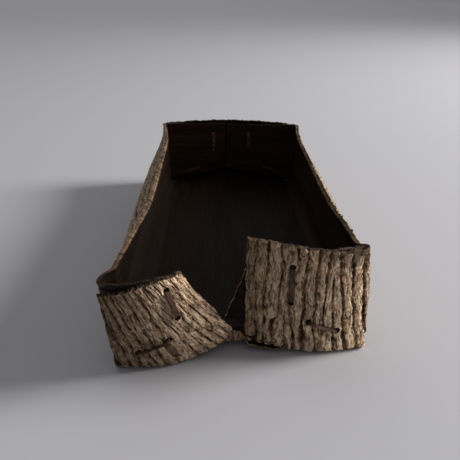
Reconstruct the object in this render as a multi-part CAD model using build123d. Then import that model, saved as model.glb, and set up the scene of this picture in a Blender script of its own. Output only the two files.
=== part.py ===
"""Walnut bark box: one folded sheet of bark whose end flaps are laced with bark thongs.

Millimetres. X runs across the box, Y along it with the open front at minus Y, Z up.
The box rests on the flat underside of the bark at Z = 0. Each end has two halves, left
and right of a slit in the base's end flap. In each half the flap is folded up outside a
tab of the side wall, and two thongs tie the layers together.
"""
from build123d import *
from bisect import bisect_right
from dataclasses import dataclass, fields
import math
import os

os.makedirs("parts", exist_ok=True)

# Bark sheet
BARK = 4.5                # thickness of the bark in the trough and in the flaps
TAB_BARK = 3.0            # thickness of the pared tabs on the inside
TAB_ROOT_BARK = 4.0       # thickness of a tab where it leaves the wall
INSET = 0.2               # step between a leg or tab root and the trough it grows from
LAYER_GAP = 0.4           # clearance between a flap and the tab behind it
FOOT_RADIUS = 14.0        # outside radius between the base and a wall
FOOT_SHOULDER = 22.0      # height where the foot curve has passed into the wall
SHOULDER_SHARE = 0.35     # share of the way from foot to belly reached at the shoulder
FOLD_RADIUS = 5.5         # outside radius of the fold between base and flap
CORNER_RADIUS = 9.0       # outside radius of a wall end as it turns the corner
SOLE_CUT = 0.5            # bark shaved off the underside to make the flat it rests on
LEG = 18.0                # how far a flap's leg reaches back into the base of the trough
LEG_TRIM_HEIGHT = 22.0    # half height of the block that trims a leg at the wall's foot
TROUGH_BACK = 14.0        # distance from a flap's outer plane back to the end of the trough
ROOT_DEPTH = 4.0          # how far a tab's root is buried in the wall

# Raised middle of the base at each end
ARCH_RISE = 7.0
ARCH_REACH = 62.0

# Main furrows of the bark, which run along the sheet and so up the flaps
FURROW_PITCH = 11.0
FURROW_WIDTH = 3.6
FURROW_DEPTH = 2.0
FURROW_SWAY = 1.6         # how far a furrow wanders to either side
FURROW_BENDS = 4.5        # radians of that wander from end to end
FURROW_CHANGE = 2.3       # radians by which each furrow's wander differs from the last
FURROW_LEVELS = 3         # straight stretches up a flap
FURROW_OPENING = 1.0      # how far a cutter stands out of the bark
FURROW_START = 13.0       # height where the furrows of a flap fade in
FURROW_TOP = 103.0        # height that the cutters on the flaps reach
FURROW_CLEAR_SHARE = 0.05    # share of a wall's line kept plain below its last furrow
WALL_FURROW_SHARES = (0.12, 0.24, 0.36, 0.48, 0.6)   # where furrows lie, rim to base

# Thongs and their punched holes
THONG_WIDTH = 3.8
THONG_THICKNESS = 1.2
THONG_CLEARANCE = 0.3     # clearance between a thong and the bark it is tied round
THONG_ROUNDING = 1.0
HOLE_RADIUS = 2.6
HOLE_SIDES = 16           # flats of the punch; few enough to keep the mesh light
HOLE_REACH = 30.0         # length of the punch that makes a hole

# Cut along the worn slit edge of the front left flap, as X and Z from its torn tip upward
WORN_EDGE = ((-13.0, 15.0), (-11.5, 22.0), (-18.8, 30.5), (-21.7, 37.0), (-33.9, 55.0),
             (-38.9, 62.0), (-49.4, 83.5))
WORN_CUT_RIGHT = 20.0
WORN_CUT_DEPTH = 30.0     # half depth of the cut along Y

# Blocks that cut the trough to length at the front and flat underneath
END_CUT_ACROSS = (0.7, 145.0)
SKEW_END_CUT_ACROSS = (-11.0, 145.0)
END_CUT_AHEAD = 90.0
END_CUT_HEIGHTS = (-12.0, 125.0)
TABLE_BLOCK = (440.0, 660.0, 22.0)

# Directions and shares used in the outlines
EIGHTH_TURN = math.radians(45)
QUARTER_TURN = 90.0
TROUGH_STEPS = 20         # straight stretches that follow the trough's smooth length
WALL_STEPS = 10           # straight stretches from a wall's rim to the base
FOOT_CROWDING = 1.6       # how much closer those stretches get toward the round foot
BASE_STEPS = 8            # straight stretches across the raised middle of the base
FLAP_STEPS = 8            # straight stretches that follow a flap's bulge
RUN_STEPS = 8
TURN_STEPS = 5
FACE_STEPS = 8            # rounds that find a point on a fanned face


@dataclass
class Wall:
    """Outer face of one wall at one station: distances out of the side line, and heights.

    The side line runs straight from the front corner of that side to its rear corner.
    """
    foot: float
    belly: float
    belly_height: float
    rim: float
    rim_height: float


@dataclass
class Station:
    """One cross-section of the trough.

    along_share is 0 at the front right slit and 1 at the rear one; arch_share is the share
    of the base's full rise.
    """
    along_share: float
    arch_share: float
    left: Wall
    right: Wall


STATIONS = [
    Station(along_share=-0.122, arch_share=1.0,
            left=Wall(foot=1.8, belly=6.8, belly_height=45.0, rim=8.8, rim_height=80.0),
            right=Wall(foot=-0.6, belly=-0.6, belly_height=50.0, rim=-10.6, rim_height=89.5)),
    Station(along_share=-0.013, arch_share=1.0,
            left=Wall(foot=0.4, belly=4.4, belly_height=50.0, rim=-0.6, rim_height=86.0),
            right=Wall(foot=-0.1, belly=-0.1, belly_height=50.0, rim=-10.1, rim_height=89.5)),
    Station(along_share=0.107, arch_share=0.45,
            left=Wall(foot=-0.5, belly=7.0, belly_height=58.0, rim=-6.0, rim_height=88.0),
            right=Wall(foot=-1.0, belly=2.5, belly_height=58.0, rim=-11.0, rim_height=90.0)),
    Station(along_share=0.25, arch_share=0.0,
            left=Wall(foot=-1.3, belly=8.7, belly_height=60.0, rim=-10.8, rim_height=88.0),
            right=Wall(foot=-1.3, belly=4.2, belly_height=60.0, rim=-12.8, rim_height=88.5)),
    Station(along_share=0.498, arch_share=0.0,
            left=Wall(foot=-1.0, belly=10.0, belly_height=60.0, rim=-10.0, rim_height=88.0),
            right=Wall(foot=-1.0, belly=6.5, belly_height=62.0, rim=-9.5, rim_height=88.0)),
    Station(along_share=0.759, arch_share=0.2,
            left=Wall(foot=-0.2, belly=10.3, belly_height=58.0, rim=-7.7, rim_height=88.5),
            right=Wall(foot=-0.7, belly=6.8, belly_height=60.0, rim=-5.2, rim_height=87.5)),
    Station(along_share=0.889, arch_share=0.7,
            left=Wall(foot=-0.1, belly=7.9, belly_height=54.0, rim=-2.1, rim_height=89.0),
            right=Wall(foot=-0.6, belly=5.4, belly_height=56.0, rim=-0.6, rim_height=87.0)),
    Station(along_share=0.967, arch_share=1.0,
            left=Wall(foot=-0.2, belly=1.8, belly_height=46.0, rim=3.3, rim_height=89.0),
            right=Wall(foot=-0.2, belly=2.8, belly_height=46.0, rim=4.3, rim_height=87.0)),
]


@dataclass
class Stitch:
    """The two holes of one thong: distances across from the slit line, heights up."""
    name: str
    across: tuple
    up: tuple


@dataclass
class EndHalf:
    """Half of one end: an outer flap from the base over an inner tab from the wall."""
    name: str
    slit: tuple           # X and Y of the flap's outer face where the slit meets the fold
    across: tuple         # direction from the slit to the corner, in plan
    outward: tuple        # direction out of the box, in plan
    width: float          # slit to the outer face of the wall
    lean: float           # outward lean per unit of height
    fan_at_slit: float    # sideways shift per unit of height, at the slit
    fan_at_corner: float  # the same at the corner
    fan_at_root: float    # the same where the tab leaves the wall
    flare: float          # extra sideways shift halfway round the tab's turn
    wall_skew: float      # degrees the wall turns away from square
    bulge: float          # how far the flap stands out at its crest
    crest: float          # share of the width, from the slit, where the crest is
    flap_from: float
    flap_past: float      # how far the flap reaches past the wall's outer face
    flap_top: tuple       # heights of the flap's top edge, evenly spaced, slit first
    tab_end: float        # where the tab stops, measured at the table
    tab_end_fan: float
    tab_top: tuple        # tab heights at its free end, its middle and the corner
    tab_bottom: tuple
    stitches: tuple


SKEW = 16.0
SKEW_ACROSS = (-math.cos(math.radians(SKEW)), -math.sin(math.radians(SKEW)))
SKEW_OUTWARD = (math.sin(math.radians(SKEW)), -math.cos(math.radians(SKEW)))

FRONT_LEFT = EndHalf(
    name="front_left", slit=(-10.0, -208.0), across=SKEW_ACROSS, outward=SKEW_OUTWARD,
    width=90.0, lean=0.165, fan_at_slit=0.58, fan_at_corner=0.15, fan_at_root=0.1,
    flare=0.07, wall_skew=-SKEW, bulge=9.0, crest=0.58,
    flap_from=-12.0, flap_past=2.5, flap_top=(81.0, 82.0, 82.5, 80.5, 75.5),
    tab_end=-3.0, tab_end_fan=0.59, tab_top=(77.0, 80.0, 83.0), tab_bottom=(24.0, 16.0, 8.0),
    stitches=(Stitch(name="upper", across=(55.0, 47.0), up=(71.5, 46.5)),
              Stitch(name="lower", across=(76.5, 53.5), up=(18.5, 28.0))))
FRONT_RIGHT = EndHalf(
    name="front_right", slit=(-0.7, -210.4), across=(1.0, 0.0), outward=(0.0, -1.0),
    width=97.7, lean=0.0, fan_at_slit=0.0, fan_at_corner=-0.06, fan_at_root=-0.11,
    flare=0.06, wall_skew=0.0, bulge=7.0, crest=0.5,
    flap_from=0.0, flap_past=0.3, flap_top=(99.0, 96.5, 92.8, 89.0, 83.5),
    tab_end=-23.6, tab_end_fan=0.34, tab_top=(86.0, 87.0, 90.0), tab_bottom=(25.0, 15.0, 8.0),
    stitches=(Stitch(name="upper", across=(34.0, 34.0), up=(77.5, 47.0)),
              Stitch(name="lower", across=(48.5, 71.5), up=(30.0, 21.5))))
REAR_LEFT = EndHalf(
    name="rear_left", slit=(-8.5, 212.0), across=(-1.0, 0.0), outward=(0.0, 1.0),
    width=83.0, lean=0.0, fan_at_slit=0.0, fan_at_corner=0.035, fan_at_root=0.035,
    flare=0.0, wall_skew=0.0, bulge=5.0, crest=0.0,
    flap_from=0.3, flap_past=-0.5, flap_top=(92.3, 92.0, 91.3, 90.3, 88.5),
    tab_end=3.0, tab_end_fan=0.0, tab_top=(87.5, 87.5, 88.5), tab_bottom=(23.0, 15.0, 8.0),
    stitches=(Stitch(name="upper", across=(16.0, 16.0), up=(76.5, 48.5)),
              Stitch(name="lower", across=(36.0, 59.5), up=(25.0, 15.5))))
REAR_RIGHT = EndHalf(
    name="rear_right", slit=(-8.5, 212.0), across=(1.0, 0.0), outward=(0.0, 1.0),
    width=100.5, lean=0.0, fan_at_slit=0.0, fan_at_corner=0.045, fan_at_root=0.045,
    flare=0.0, wall_skew=0.0, bulge=5.0, crest=0.0,
    flap_from=0.3, flap_past=-0.5, flap_top=(92.3, 92.0, 91.0, 89.3, 86.5),
    tab_end=4.0, tab_end_fan=0.0, tab_top=(86.5, 86.0, 87.0), tab_bottom=(23.0, 15.0, 8.0),
    stitches=(Stitch(name="upper", across=(34.5, 34.5), up=(76.5, 48.5)),
              Stitch(name="lower", across=(57.0, 80.5), up=(26.0, 16.0))))
HALVES = (FRONT_LEFT, FRONT_RIGHT, REAR_LEFT, REAR_RIGHT)


def between(values, share):
    """Value at a share of the way along evenly spaced values joined by straight lines."""
    steps = len(values) - 1
    i = min(int(share * steps), steps - 1)
    return values[i] + (values[i + 1] - values[i]) * (share * steps - i)


def station_y(station):
    """Where a station stands along the box."""
    front, rear = FRONT_RIGHT.slit[1], REAR_RIGHT.slit[1]
    return front + (rear - front) * station.along_share


def side_line(side, y):
    """Distance from the middle plane to the line between a side's front and rear corners."""
    front, rear = (FRONT_LEFT, REAR_LEFT) if side == "left" else (FRONT_RIGHT, REAR_RIGHT)
    start, end = (abs(half.slit[0] + half.across[0] * half.width) for half in (front, rear))
    return start + (end - start) * (y - front.slit[1]) / (rear.slit[1] - front.slit[1])


def along_trough(values, y):
    """Value at Y on a smooth curve through one value per station."""
    ys = [station_y(station) for station in STATIONS]
    last = len(ys) - 1
    i = min(max(bisect_right(ys, y) - 1, 0), last - 1)
    span = ys[i + 1] - ys[i]
    t = (y - ys[i]) / span

    def slope(k):
        low, high = max(k - 1, 0), min(k + 1, last)
        return (values[high] - values[low]) / (ys[high] - ys[low])

    rest = 1 - t
    start = values[i] * rest ** 2 * (1 + 2 * t) + slope(i) * span * t * rest ** 2
    end = values[i + 1] * t ** 2 * (1 + 2 * rest) - slope(i + 1) * span * rest * t ** 2
    return start + end


def arch_share_at(y):
    """Share of the full rise that the base has at Y."""
    return along_trough([station.arch_share for station in STATIONS], y)


def wall_at(side, y):
    """Outer face of a wall at Y, as distances from the middle plane and heights."""
    walls = [getattr(station, side) for station in STATIONS]
    names = [field.name for field in fields(Wall)]
    values = {name: along_trough([getattr(wall, name) for wall in walls], y) for name in names}
    for name in ("foot", "belly", "rim"):
        values[name] += side_line(side, y)
    return Wall(**values)


def arch(x, share=1.0):
    """Height of the base's underside at X, for a share of the full rise."""
    if abs(x) >= ARCH_REACH:
        return 0.0
    return ARCH_RISE * share * math.cos(math.pi * x / (2 * ARCH_REACH)) ** 2


def wander(number, share):
    """Sideways shift of one furrow at a share of its length."""
    return FURROW_SWAY * math.sin(number * FURROW_CHANGE + share * FURROW_BENDS)


def inward(points, thickness):
    """The same line moved inward by a thickness; the points run from rim to base."""
    moved = []
    for i, (x, z) in enumerate(points):
        x0, z0 = points[max(i - 1, 0)]
        x1, z1 = points[min(i + 1, len(points) - 1)]
        length = math.hypot(x1 - x0, z1 - z0)
        moved.append((x + (z1 - z0) / length * thickness, z - (x1 - x0) / length * thickness))
    return moved


def wall_curve(wall):
    """Outer face of a wall from rim to base, for the positive side."""
    shoulder = wall.foot + (wall.belly - wall.foot) * SHOULDER_SHARE
    turn = FOOT_RADIUS * (1 - math.cos(EIGHTH_TURN))
    knots = [Vector(wall.rim, wall.rim_height), Vector(wall.belly, wall.belly_height),
             Vector(shoulder, FOOT_SHOULDER), Vector(wall.foot - turn, turn),
             Vector(wall.foot - FOOT_RADIUS, -SOLE_CUT)]
    return Spline(knots, tangents=[knots[1] - knots[0], (-1, 0)], tangent_scalars=[1, 1])


def furrowed(curve, shares, along_share):
    """A wall's line with a V-shaped notch at each furrow, and plain from the last one down."""
    reach = FURROW_WIDTH / 2 / curve.length
    points = [curve @ 0]
    for number, share in enumerate(WALL_FURROW_SHARES):
        middle = share + wander(number, along_share) / curve.length
        lips = curve.position_at(middle - reach), curve.position_at(middle + reach)
        down = (lips[1] - lips[0]).normalized()
        bottom = curve.position_at(middle) + Vector(down.Y, -down.X) * FURROW_DEPTH
        points += [lips[0], bottom, lips[1]]
    below = [share for share in shares if share > WALL_FURROW_SHARES[-1] + FURROW_CLEAR_SHARE]
    points += [curve.position_at(share) for share in below]
    return [(point.X, point.Y) for point in points]


def trough_section(y):
    """Closed C-shaped outline of the sheet at Y."""
    xs = [ARCH_REACH * (2 * i / BASE_STEPS - 1) for i in range(BASE_STEPS + 1)]
    raised = [(x, arch(x, arch_share_at(y))) for x in xs]
    shares = [1 - (1 - i / WALL_STEPS) ** FOOT_CROWDING for i in range(WALL_STEPS + 1)]
    along_share = (y - FRONT_RIGHT.slit[1]) / (REAR_RIGHT.slit[1] - FRONT_RIGHT.slit[1])
    lines = []
    for wall, side in ((wall_at("left", y), -1), (wall_at("right", y), 1)):
        curve = wall_curve(wall)
        outer = furrowed(curve, shares, along_share)
        smooth = [curve.position_at(share) for share in shares]
        inner = inward([(point.X, point.Y) for point in smooth], BARK)
        inner[-1] = (outer[-1][0], BARK)
        lines.append([[(side * x, z) for x, z in line] for line in (outer, inner)])
    (left_outer, left_inner), (right_outer, right_inner) = lines
    under = [(x, z - SOLE_CUT) for x, z in raised]
    floor = [(x, z + BARK) for x, z in raised]
    outline = left_outer + under + right_outer[::-1] + right_inner + floor[::-1] + left_inner[::-1]
    return Wire.make_polygon([Vector(x, y, z) for x, z in outline])


def fan(half, across):
    """Sideways shift per unit of height at a distance from the slit."""
    share = across / half.width
    return half.fan_at_slit * (1 - share) + half.fan_at_corner * share


def place(half, across, out, up, shift):
    """World position of a point given across the end, out of the box and up."""
    along = across + up * shift
    reach = out + up * half.lean
    x = half.slit[0] + along * half.across[0] + reach * half.outward[0]
    y = half.slit[1] + along * half.across[1] + reach * half.outward[1]
    return Vector(x, y, up)


def bulge(half, across):
    """How far the flap's outer face stands out at a distance from the slit."""
    share = across / half.width
    reach = half.crest if share < half.crest else 1 - half.crest
    return half.bulge * (1 - ((share - half.crest) / reach) ** 2)


def prism(half, corners, heights):
    """Upright block over corners given across and out, between two heights."""
    wires = [Wire.make_polygon([place(half, w, n, h, 0.0) for w, n in corners]) for h in heights]
    return Solid.make_loft(wires, True)


def flap_slice(half, across, top):
    """Closed outline of leg, fold and flap in one upright plane."""
    shift = fan(half, across)
    face = bulge(half, across)
    foot = arch(place(half, across, 0.0, 0.0, shift).X) + INSET
    back = place(half, across, -LEG, 0.0, shift)
    back_foot = arch(back.X, arch_share_at(back.Y)) + INSET
    leg_bark = BARK - 2 * INSET
    turn = FOLD_RADIUS * (1 - math.cos(EIGHTH_TURN))
    inner_turn = (FOLD_RADIUS - BARK) * (1 - math.cos(EIGHTH_TURN))

    def at(out, up):
        return place(half, across, out, up, shift)

    back_low, back_high = at(-LEG, back_foot), at(-LEG, back_foot + leg_bark)
    outer_start, outer_end = at(face - FOLD_RADIUS, foot), at(face, foot + FOLD_RADIUS)
    inner_start, inner_end = at(face - BARK, foot + FOLD_RADIUS), at(face - FOLD_RADIUS, foot + leg_bark)
    top_out, top_in = at(face, top), at(face - BARK, top)
    outer_middle = at(face - turn, foot + turn)
    inner_middle = at(face - BARK - inner_turn, foot + leg_bark + inner_turn)
    return Wire([
        Line(back_low, outer_start), ThreePointArc(outer_start, outer_middle, outer_end),
        Line(outer_end, top_out), Line(top_out, top_in), Line(top_in, inner_start),
        ThreePointArc(inner_start, inner_middle, inner_end), Line(inner_end, back_high),
        Line(back_high, back_low)])


def leg_trim(half):
    """Block that keeps the leg clear of the round foot of the wall."""
    inner, outer = half.width - FOOT_RADIUS, half.width + FOOT_RADIUS
    far = -TROUGH_BACK - LEG
    corners = [(inner, far), (outer, far), (outer, -TROUGH_BACK), (inner, -TROUGH_BACK)]
    return prism(half, corners, (-LEG_TRIM_HEIGHT, LEG_TRIM_HEIGHT))


def flap_furrows(half):
    """Upright cutters for the main furrows of a flap; each fades in above the fold."""
    count = round(half.width / FURROW_PITCH)
    mouth = FURROW_WIDTH / 2 * (FURROW_DEPTH + FURROW_OPENING) / FURROW_DEPTH
    depths = [-FURROW_OPENING / 2] + [FURROW_DEPTH] * FURROW_LEVELS
    cutters = []
    for number in range(count):
        wires = []
        for level, depth in enumerate(depths):
            share = level / FURROW_LEVELS
            middle = half.width * (number + 1 / 2) / count + wander(number, share)
            up = FURROW_START + (FURROW_TOP - FURROW_START) * share
            corners = [(middle - mouth, FURROW_OPENING), (middle, -depth), (middle + mouth, FURROW_OPENING)]
            wires.append(Wire.make_polygon([
                place(half, across, bulge(half, across) + out, up, fan(half, across))
                for across, out in corners]))
        cutters.append(Solid.make_loft(wires, True))
    return cutters


def flap(half):
    """Outer flap, folded up from the base and furrowed."""
    flap_to = half.width + half.flap_past
    slices = []
    for i in range(FLAP_STEPS + 1):
        share = i / FLAP_STEPS
        across = half.flap_from + (flap_to - half.flap_from) * share
        slices.append(flap_slice(half, across, between(half.flap_top, share)))
    return Solid.make_loft(slices, True).cut(leg_trim(half), *flap_furrows(half))


def front_left_flap():
    """Front left flap with the worn edge and torn tip beside the slit."""
    outline = [*WORN_EDGE, (WORN_CUT_RIGHT, WORN_EDGE[-1][1]), (WORN_CUT_RIGHT, WORN_EDGE[0][1])]
    start = FRONT_LEFT.slit[1] - WORN_CUT_DEPTH
    face = Face(Wire.make_polygon([Vector(x, start, z) for x, z in outline]))
    return flap(FRONT_LEFT).cut(Solid.extrude(face, Vector(0, 2 * WORN_CUT_DEPTH, 0)))


def strip_section(half, across, outs, heights, shift, normal, bark):
    """Upright outline across a tab; normal is the tab's outward direction in plan, in degrees."""
    step_across = -math.cos(math.radians(normal)) * bark
    step_out = -math.sin(math.radians(normal)) * bark
    outer = [place(half, across, out, up, shift) for out, up in zip(outs, heights)]
    inner = [place(half, across + step_across, out + step_out, up, shift)
             for out, up in zip(outs, heights)]
    return Wire.make_polygon(outer + inner[::-1])


def corner_centre(half):
    """Centre of the tab's turn, across and out, and the depth from the flap's face to it."""
    skew = math.radians(half.wall_skew)
    back = BARK + LAYER_GAP + CORNER_RADIUS
    across = half.width - INSET - (CORNER_RADIUS - back * math.sin(skew)) / math.cos(skew)
    return across, bulge(half, across) - back, back


def turn_sections(half):
    """Sections of the buried root and of the turn round the corner."""
    centre_across, centre_out, back = corner_centre(half)
    skew = math.radians(half.wall_skew)
    heights = (half.tab_bottom[-1], half.tab_top[-1])
    corner_fan = fan(half, centre_across)
    sections = []
    for share in (i / TURN_STEPS for i in range(TURN_STEPS + 1)):
        angle = half.wall_skew + (QUARTER_TURN - half.wall_skew) * share
        bark = TAB_ROOT_BARK + (TAB_BARK - TAB_ROOT_BARK) * share
        shift = half.fan_at_root + (corner_fan - half.fan_at_root) * share
        shift += half.flare * 4 * share * (1 - share)
        across = centre_across + CORNER_RADIUS * math.cos(math.radians(angle))
        out = centre_out + CORNER_RADIUS * math.sin(math.radians(angle))
        sections.append(strip_section(half, across, (out, out), heights, shift, angle, bark))
        if share == 0:
            depth = ROOT_DEPTH + TROUGH_BACK + centre_out
            across, out = across + depth * math.sin(skew), out - depth * math.cos(skew)
            root = strip_section(half, across, (out, out), heights, shift, angle, bark)
    return root, sections


def flap_across(half, along, up):
    """Flap coordinate that ends up at a distance along from the slit line at a height."""
    across = along
    for _ in range(FACE_STEPS):
        across = along - up * fan(half, across)
    return across


def run_section(half, share):
    """Section of the tab's straight run, at a share of the way from its free end."""
    centre_across = corner_centre(half)[0]
    across = half.tab_end + (centre_across - half.tab_end) * share
    shift = half.tab_end_fan + (fan(half, centre_across) - half.tab_end_fan) * share
    heights = (between(half.tab_bottom, share), between(half.tab_top, share))
    faces = [bulge(half, flap_across(half, across + up * shift, up)) for up in heights]
    outs = [face - BARK - LAYER_GAP for face in faces]
    return strip_section(half, across, outs, heights, shift, QUARTER_TURN, TAB_BARK)


def tab(half):
    """Inner tab: buried root in the wall, turn round the corner, run to its free end."""
    root, turn = turn_sections(half)
    run = [run_section(half, i / RUN_STEPS) for i in range(RUN_STEPS)] + [turn[-1]]
    return Solid.make_loft([root] + turn, True).fuse(Solid.make_loft(run, True))


def trough():
    """Base and walls, cut off at the front where each half's end begins."""
    start, end = station_y(STATIONS[0]), REAR_RIGHT.slit[1] - TROUGH_BACK
    ys = [start + (end - start) * i / TROUGH_STEPS for i in range(TROUGH_STEPS + 1)]
    body = Solid.make_loft([trough_section(y) for y in ys], True)
    for half, (near, far) in ((FRONT_RIGHT, END_CUT_ACROSS), (FRONT_LEFT, SKEW_END_CUT_ACROSS)):
        corners = [(near, -TROUGH_BACK), (far, -TROUGH_BACK), (far, END_CUT_AHEAD), (near, END_CUT_AHEAD)]
        body = body.cut(prism(half, corners, END_CUT_HEIGHTS))
    return body


def face_point(half, along, up):
    """Point on a flap's outer face; along is the distance from the slit line at that height."""
    across = flap_across(half, along, up)
    return place(half, across, bulge(half, across), up, fan(half, across))


def stitch_frame(half, stitch):
    """Middle, direction along, direction out, length and rise of the face of one stitch."""
    start = face_point(half, stitch.across[0], stitch.up[0])
    end = face_point(half, stitch.across[1], stitch.up[1])
    across, up = sum(stitch.across) / 2, sum(stitch.up) / 2
    middle = face_point(half, across, up)
    sideways = face_point(half, across + THONG_WIDTH, up) - middle
    upward = face_point(half, across, up + THONG_WIDTH) - middle
    out = sideways.cross(upward).normalized()
    if out.dot(Vector(half.outward[0], half.outward[1], 0)) < 0:
        out = out * -1
    span = end - start
    along = (span - out * span.dot(out)).normalized()
    origin = (start + end) * 0.5
    return origin, along, out, span.length, (middle - origin).dot(out)


def holes(half, stitch):
    """Punches through flap and tab at both ends of a stitch."""
    origin, along, out, length, _ = stitch_frame(half, stitch)
    ends = [origin + along * (side * length / 2) for side in (-1, 1)]
    punch = extrude(RegularPolygon(HOLE_RADIUS, HOLE_SIDES), HOLE_REACH / 2, both=True)
    return [(Plane(end, x_dir=along, z_dir=out) * punch).solid() for end in ends]


def thong(half, stitch):
    """Closed loop of bark strip through both holes and round both layers."""
    origin, along, out, length, rise = stitch_frame(half, stitch)
    front = max(rise, 0.0) + THONG_CLEARANCE
    back = BARK + LAYER_GAP + TAB_BARK - min(rise, 0.0) + THONG_CLEARANCE
    inner_length, inner_depth = length - THONG_THICKNESS, front + back
    band = Box(inner_length + 2 * THONG_THICKNESS, THONG_WIDTH, inner_depth + 2 * THONG_THICKNESS)
    band = fillet(band.edges().filter_by(Axis.Y), THONG_ROUNDING)
    band = band - Box(inner_length, HOLE_REACH, inner_depth)
    return Plane(origin + out * (front - back) / 2, x_dir=along, z_dir=out) * band


def bark_sheet():
    """The whole folded sheet with its punched holes and its flat underside."""
    parts = [front_left_flap()] + [flap(half) for half in HALVES[1:]] + [tab(half) for half in HALVES]
    sheet = trough().fuse(*parts)
    punches = [punch for half in HALVES for stitch in half.stitches for punch in holes(half, stitch)]
    table = Box(*TABLE_BLOCK).locate(Location((0, 0, -TABLE_BLOCK[2] / 2)))
    return sheet.cut(*punches).cut(table.solid())


solids = bark_sheet().solids()
print("bark_sheet", len(solids), "solid", round(sum(s.volume for s in solids)), "cubic mm")
export_step(solids[0] if len(solids) == 1 else Compound(solids), "parts/bark_sheet.step")
for half in HALVES:
    for stitch in half.stitches:
        name = half.name + "_" + stitch.name + "_thong"
        strip = thong(half, stitch)
        export_step(strip, "parts/" + name + ".step")
        print(name, round(strip.volume, 1), "cubic mm")
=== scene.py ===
# %% [markdown]
# # A walnut bark box
#
# The real box is one sheet of walnut bark, folded while it was wet. The outside keeps the
# furrows of the trunk, the inside is the smooth dark inner bark. At each end the base's flap is
# folded up outside a tab of the side wall, and bark thongs go through punched holes.
#
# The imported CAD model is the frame: it says where everything is. The pieces of bark made here
# together take the place of the one plain solid. They follow the same curves, and add what a
# solid can't show.
# All shape code works in millimetres, like the part, and a mesh is turned into metres last.

# %% Load the frame
import bmesh
import bpy
import math
import numpy as np
from mathutils import Matrix, Vector


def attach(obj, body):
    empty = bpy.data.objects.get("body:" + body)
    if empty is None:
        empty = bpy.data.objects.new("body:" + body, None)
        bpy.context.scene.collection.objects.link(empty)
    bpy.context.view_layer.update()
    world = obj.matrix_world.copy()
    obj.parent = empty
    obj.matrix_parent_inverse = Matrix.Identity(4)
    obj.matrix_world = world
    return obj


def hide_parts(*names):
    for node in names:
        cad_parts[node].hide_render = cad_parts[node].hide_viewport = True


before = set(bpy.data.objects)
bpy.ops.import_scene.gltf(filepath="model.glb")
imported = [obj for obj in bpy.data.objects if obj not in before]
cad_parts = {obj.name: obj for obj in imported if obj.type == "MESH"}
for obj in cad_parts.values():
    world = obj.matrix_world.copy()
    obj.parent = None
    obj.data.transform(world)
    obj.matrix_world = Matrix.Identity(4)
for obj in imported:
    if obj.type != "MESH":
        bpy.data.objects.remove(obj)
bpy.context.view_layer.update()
MM = 0.001

# %% [markdown]
# ## The camera
#
# Ten corners of the box in the photograph give the camera: its place, how far it looks down,
# and a lens of 560 pixels in a picture 460 pixels wide. A camera has a direction to its right,
# one up and one backward, and those three are the columns of its matrix.


# %% Camera
PICTURE = 460
LENS_PIXELS = 560.0
SENSOR_WIDTH = 36.0
CAMERA_PLACE = Vector((-25.842, -582.56, 267.475)) * MM
LOOK_DOWN, LOOK_SIDE, TILT = 0.411, 0.034, 0.010


def add_object(name, data):
    """A new object in the scene."""
    thing = bpy.data.objects.new(name, data)
    bpy.context.scene.collection.objects.link(thing)
    return thing


ahead = Vector((math.sin(LOOK_SIDE) * math.cos(LOOK_DOWN),
                math.cos(LOOK_SIDE) * math.cos(LOOK_DOWN), -math.sin(LOOK_DOWN)))
level = Vector((math.cos(LOOK_SIDE), -math.sin(LOOK_SIDE), 0.0))
upward = level.cross(ahead)
right = level * math.cos(TILT) + upward * math.sin(TILT)
upward = upward * math.cos(TILT) - level * math.sin(TILT)

camera_data = bpy.data.cameras.new("camera")
camera_data.sensor_width = SENSOR_WIDTH
camera_data.lens = LENS_PIXELS / PICTURE * SENSOR_WIDTH
camera = add_object("camera", camera_data)
camera.matrix_world = Matrix.Translation(CAMERA_PLACE) @ Matrix(
    (right, upward, -ahead)).transposed().to_4x4()
bpy.context.scene.camera = camera
print("the lens is", round(camera_data.lens, 2), "mm")

# %% [markdown]
# ## The curves of the box
#
# Most of these are the part's own sizes. Where the photo asked for more once the part was
# packed, a size differs by a few millimetres: the tops of the front left flap and its tab, the
# ends of the rear tabs, and later the rear holes and the corner where a wall turns into a tab.
#
# Each end has two halves, and each half is described in its own directions: across from the slit
# to the corner, out of the box, and up. A fold that isn't square to the box, as at the front
# left, only turns those directions. Lists such as "top" run from the slit to the corner, and
# pairs such as "stain" give distances from the slit first and their values second.

# %% Sizes of the sheet
BARK = 4.5
FOOT_RADIUS, FOOT_SHOULDER, SHOULDER_SHARE = 14.0, 22.0, 0.35
TROUGH_BACK = 14.0
ARCH_RISE, ARCH_REACH = 7.0, 62.0
print("the bark is", BARK, "mm thick and its middle stands", ARCH_RISE, "mm off the table")


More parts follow.
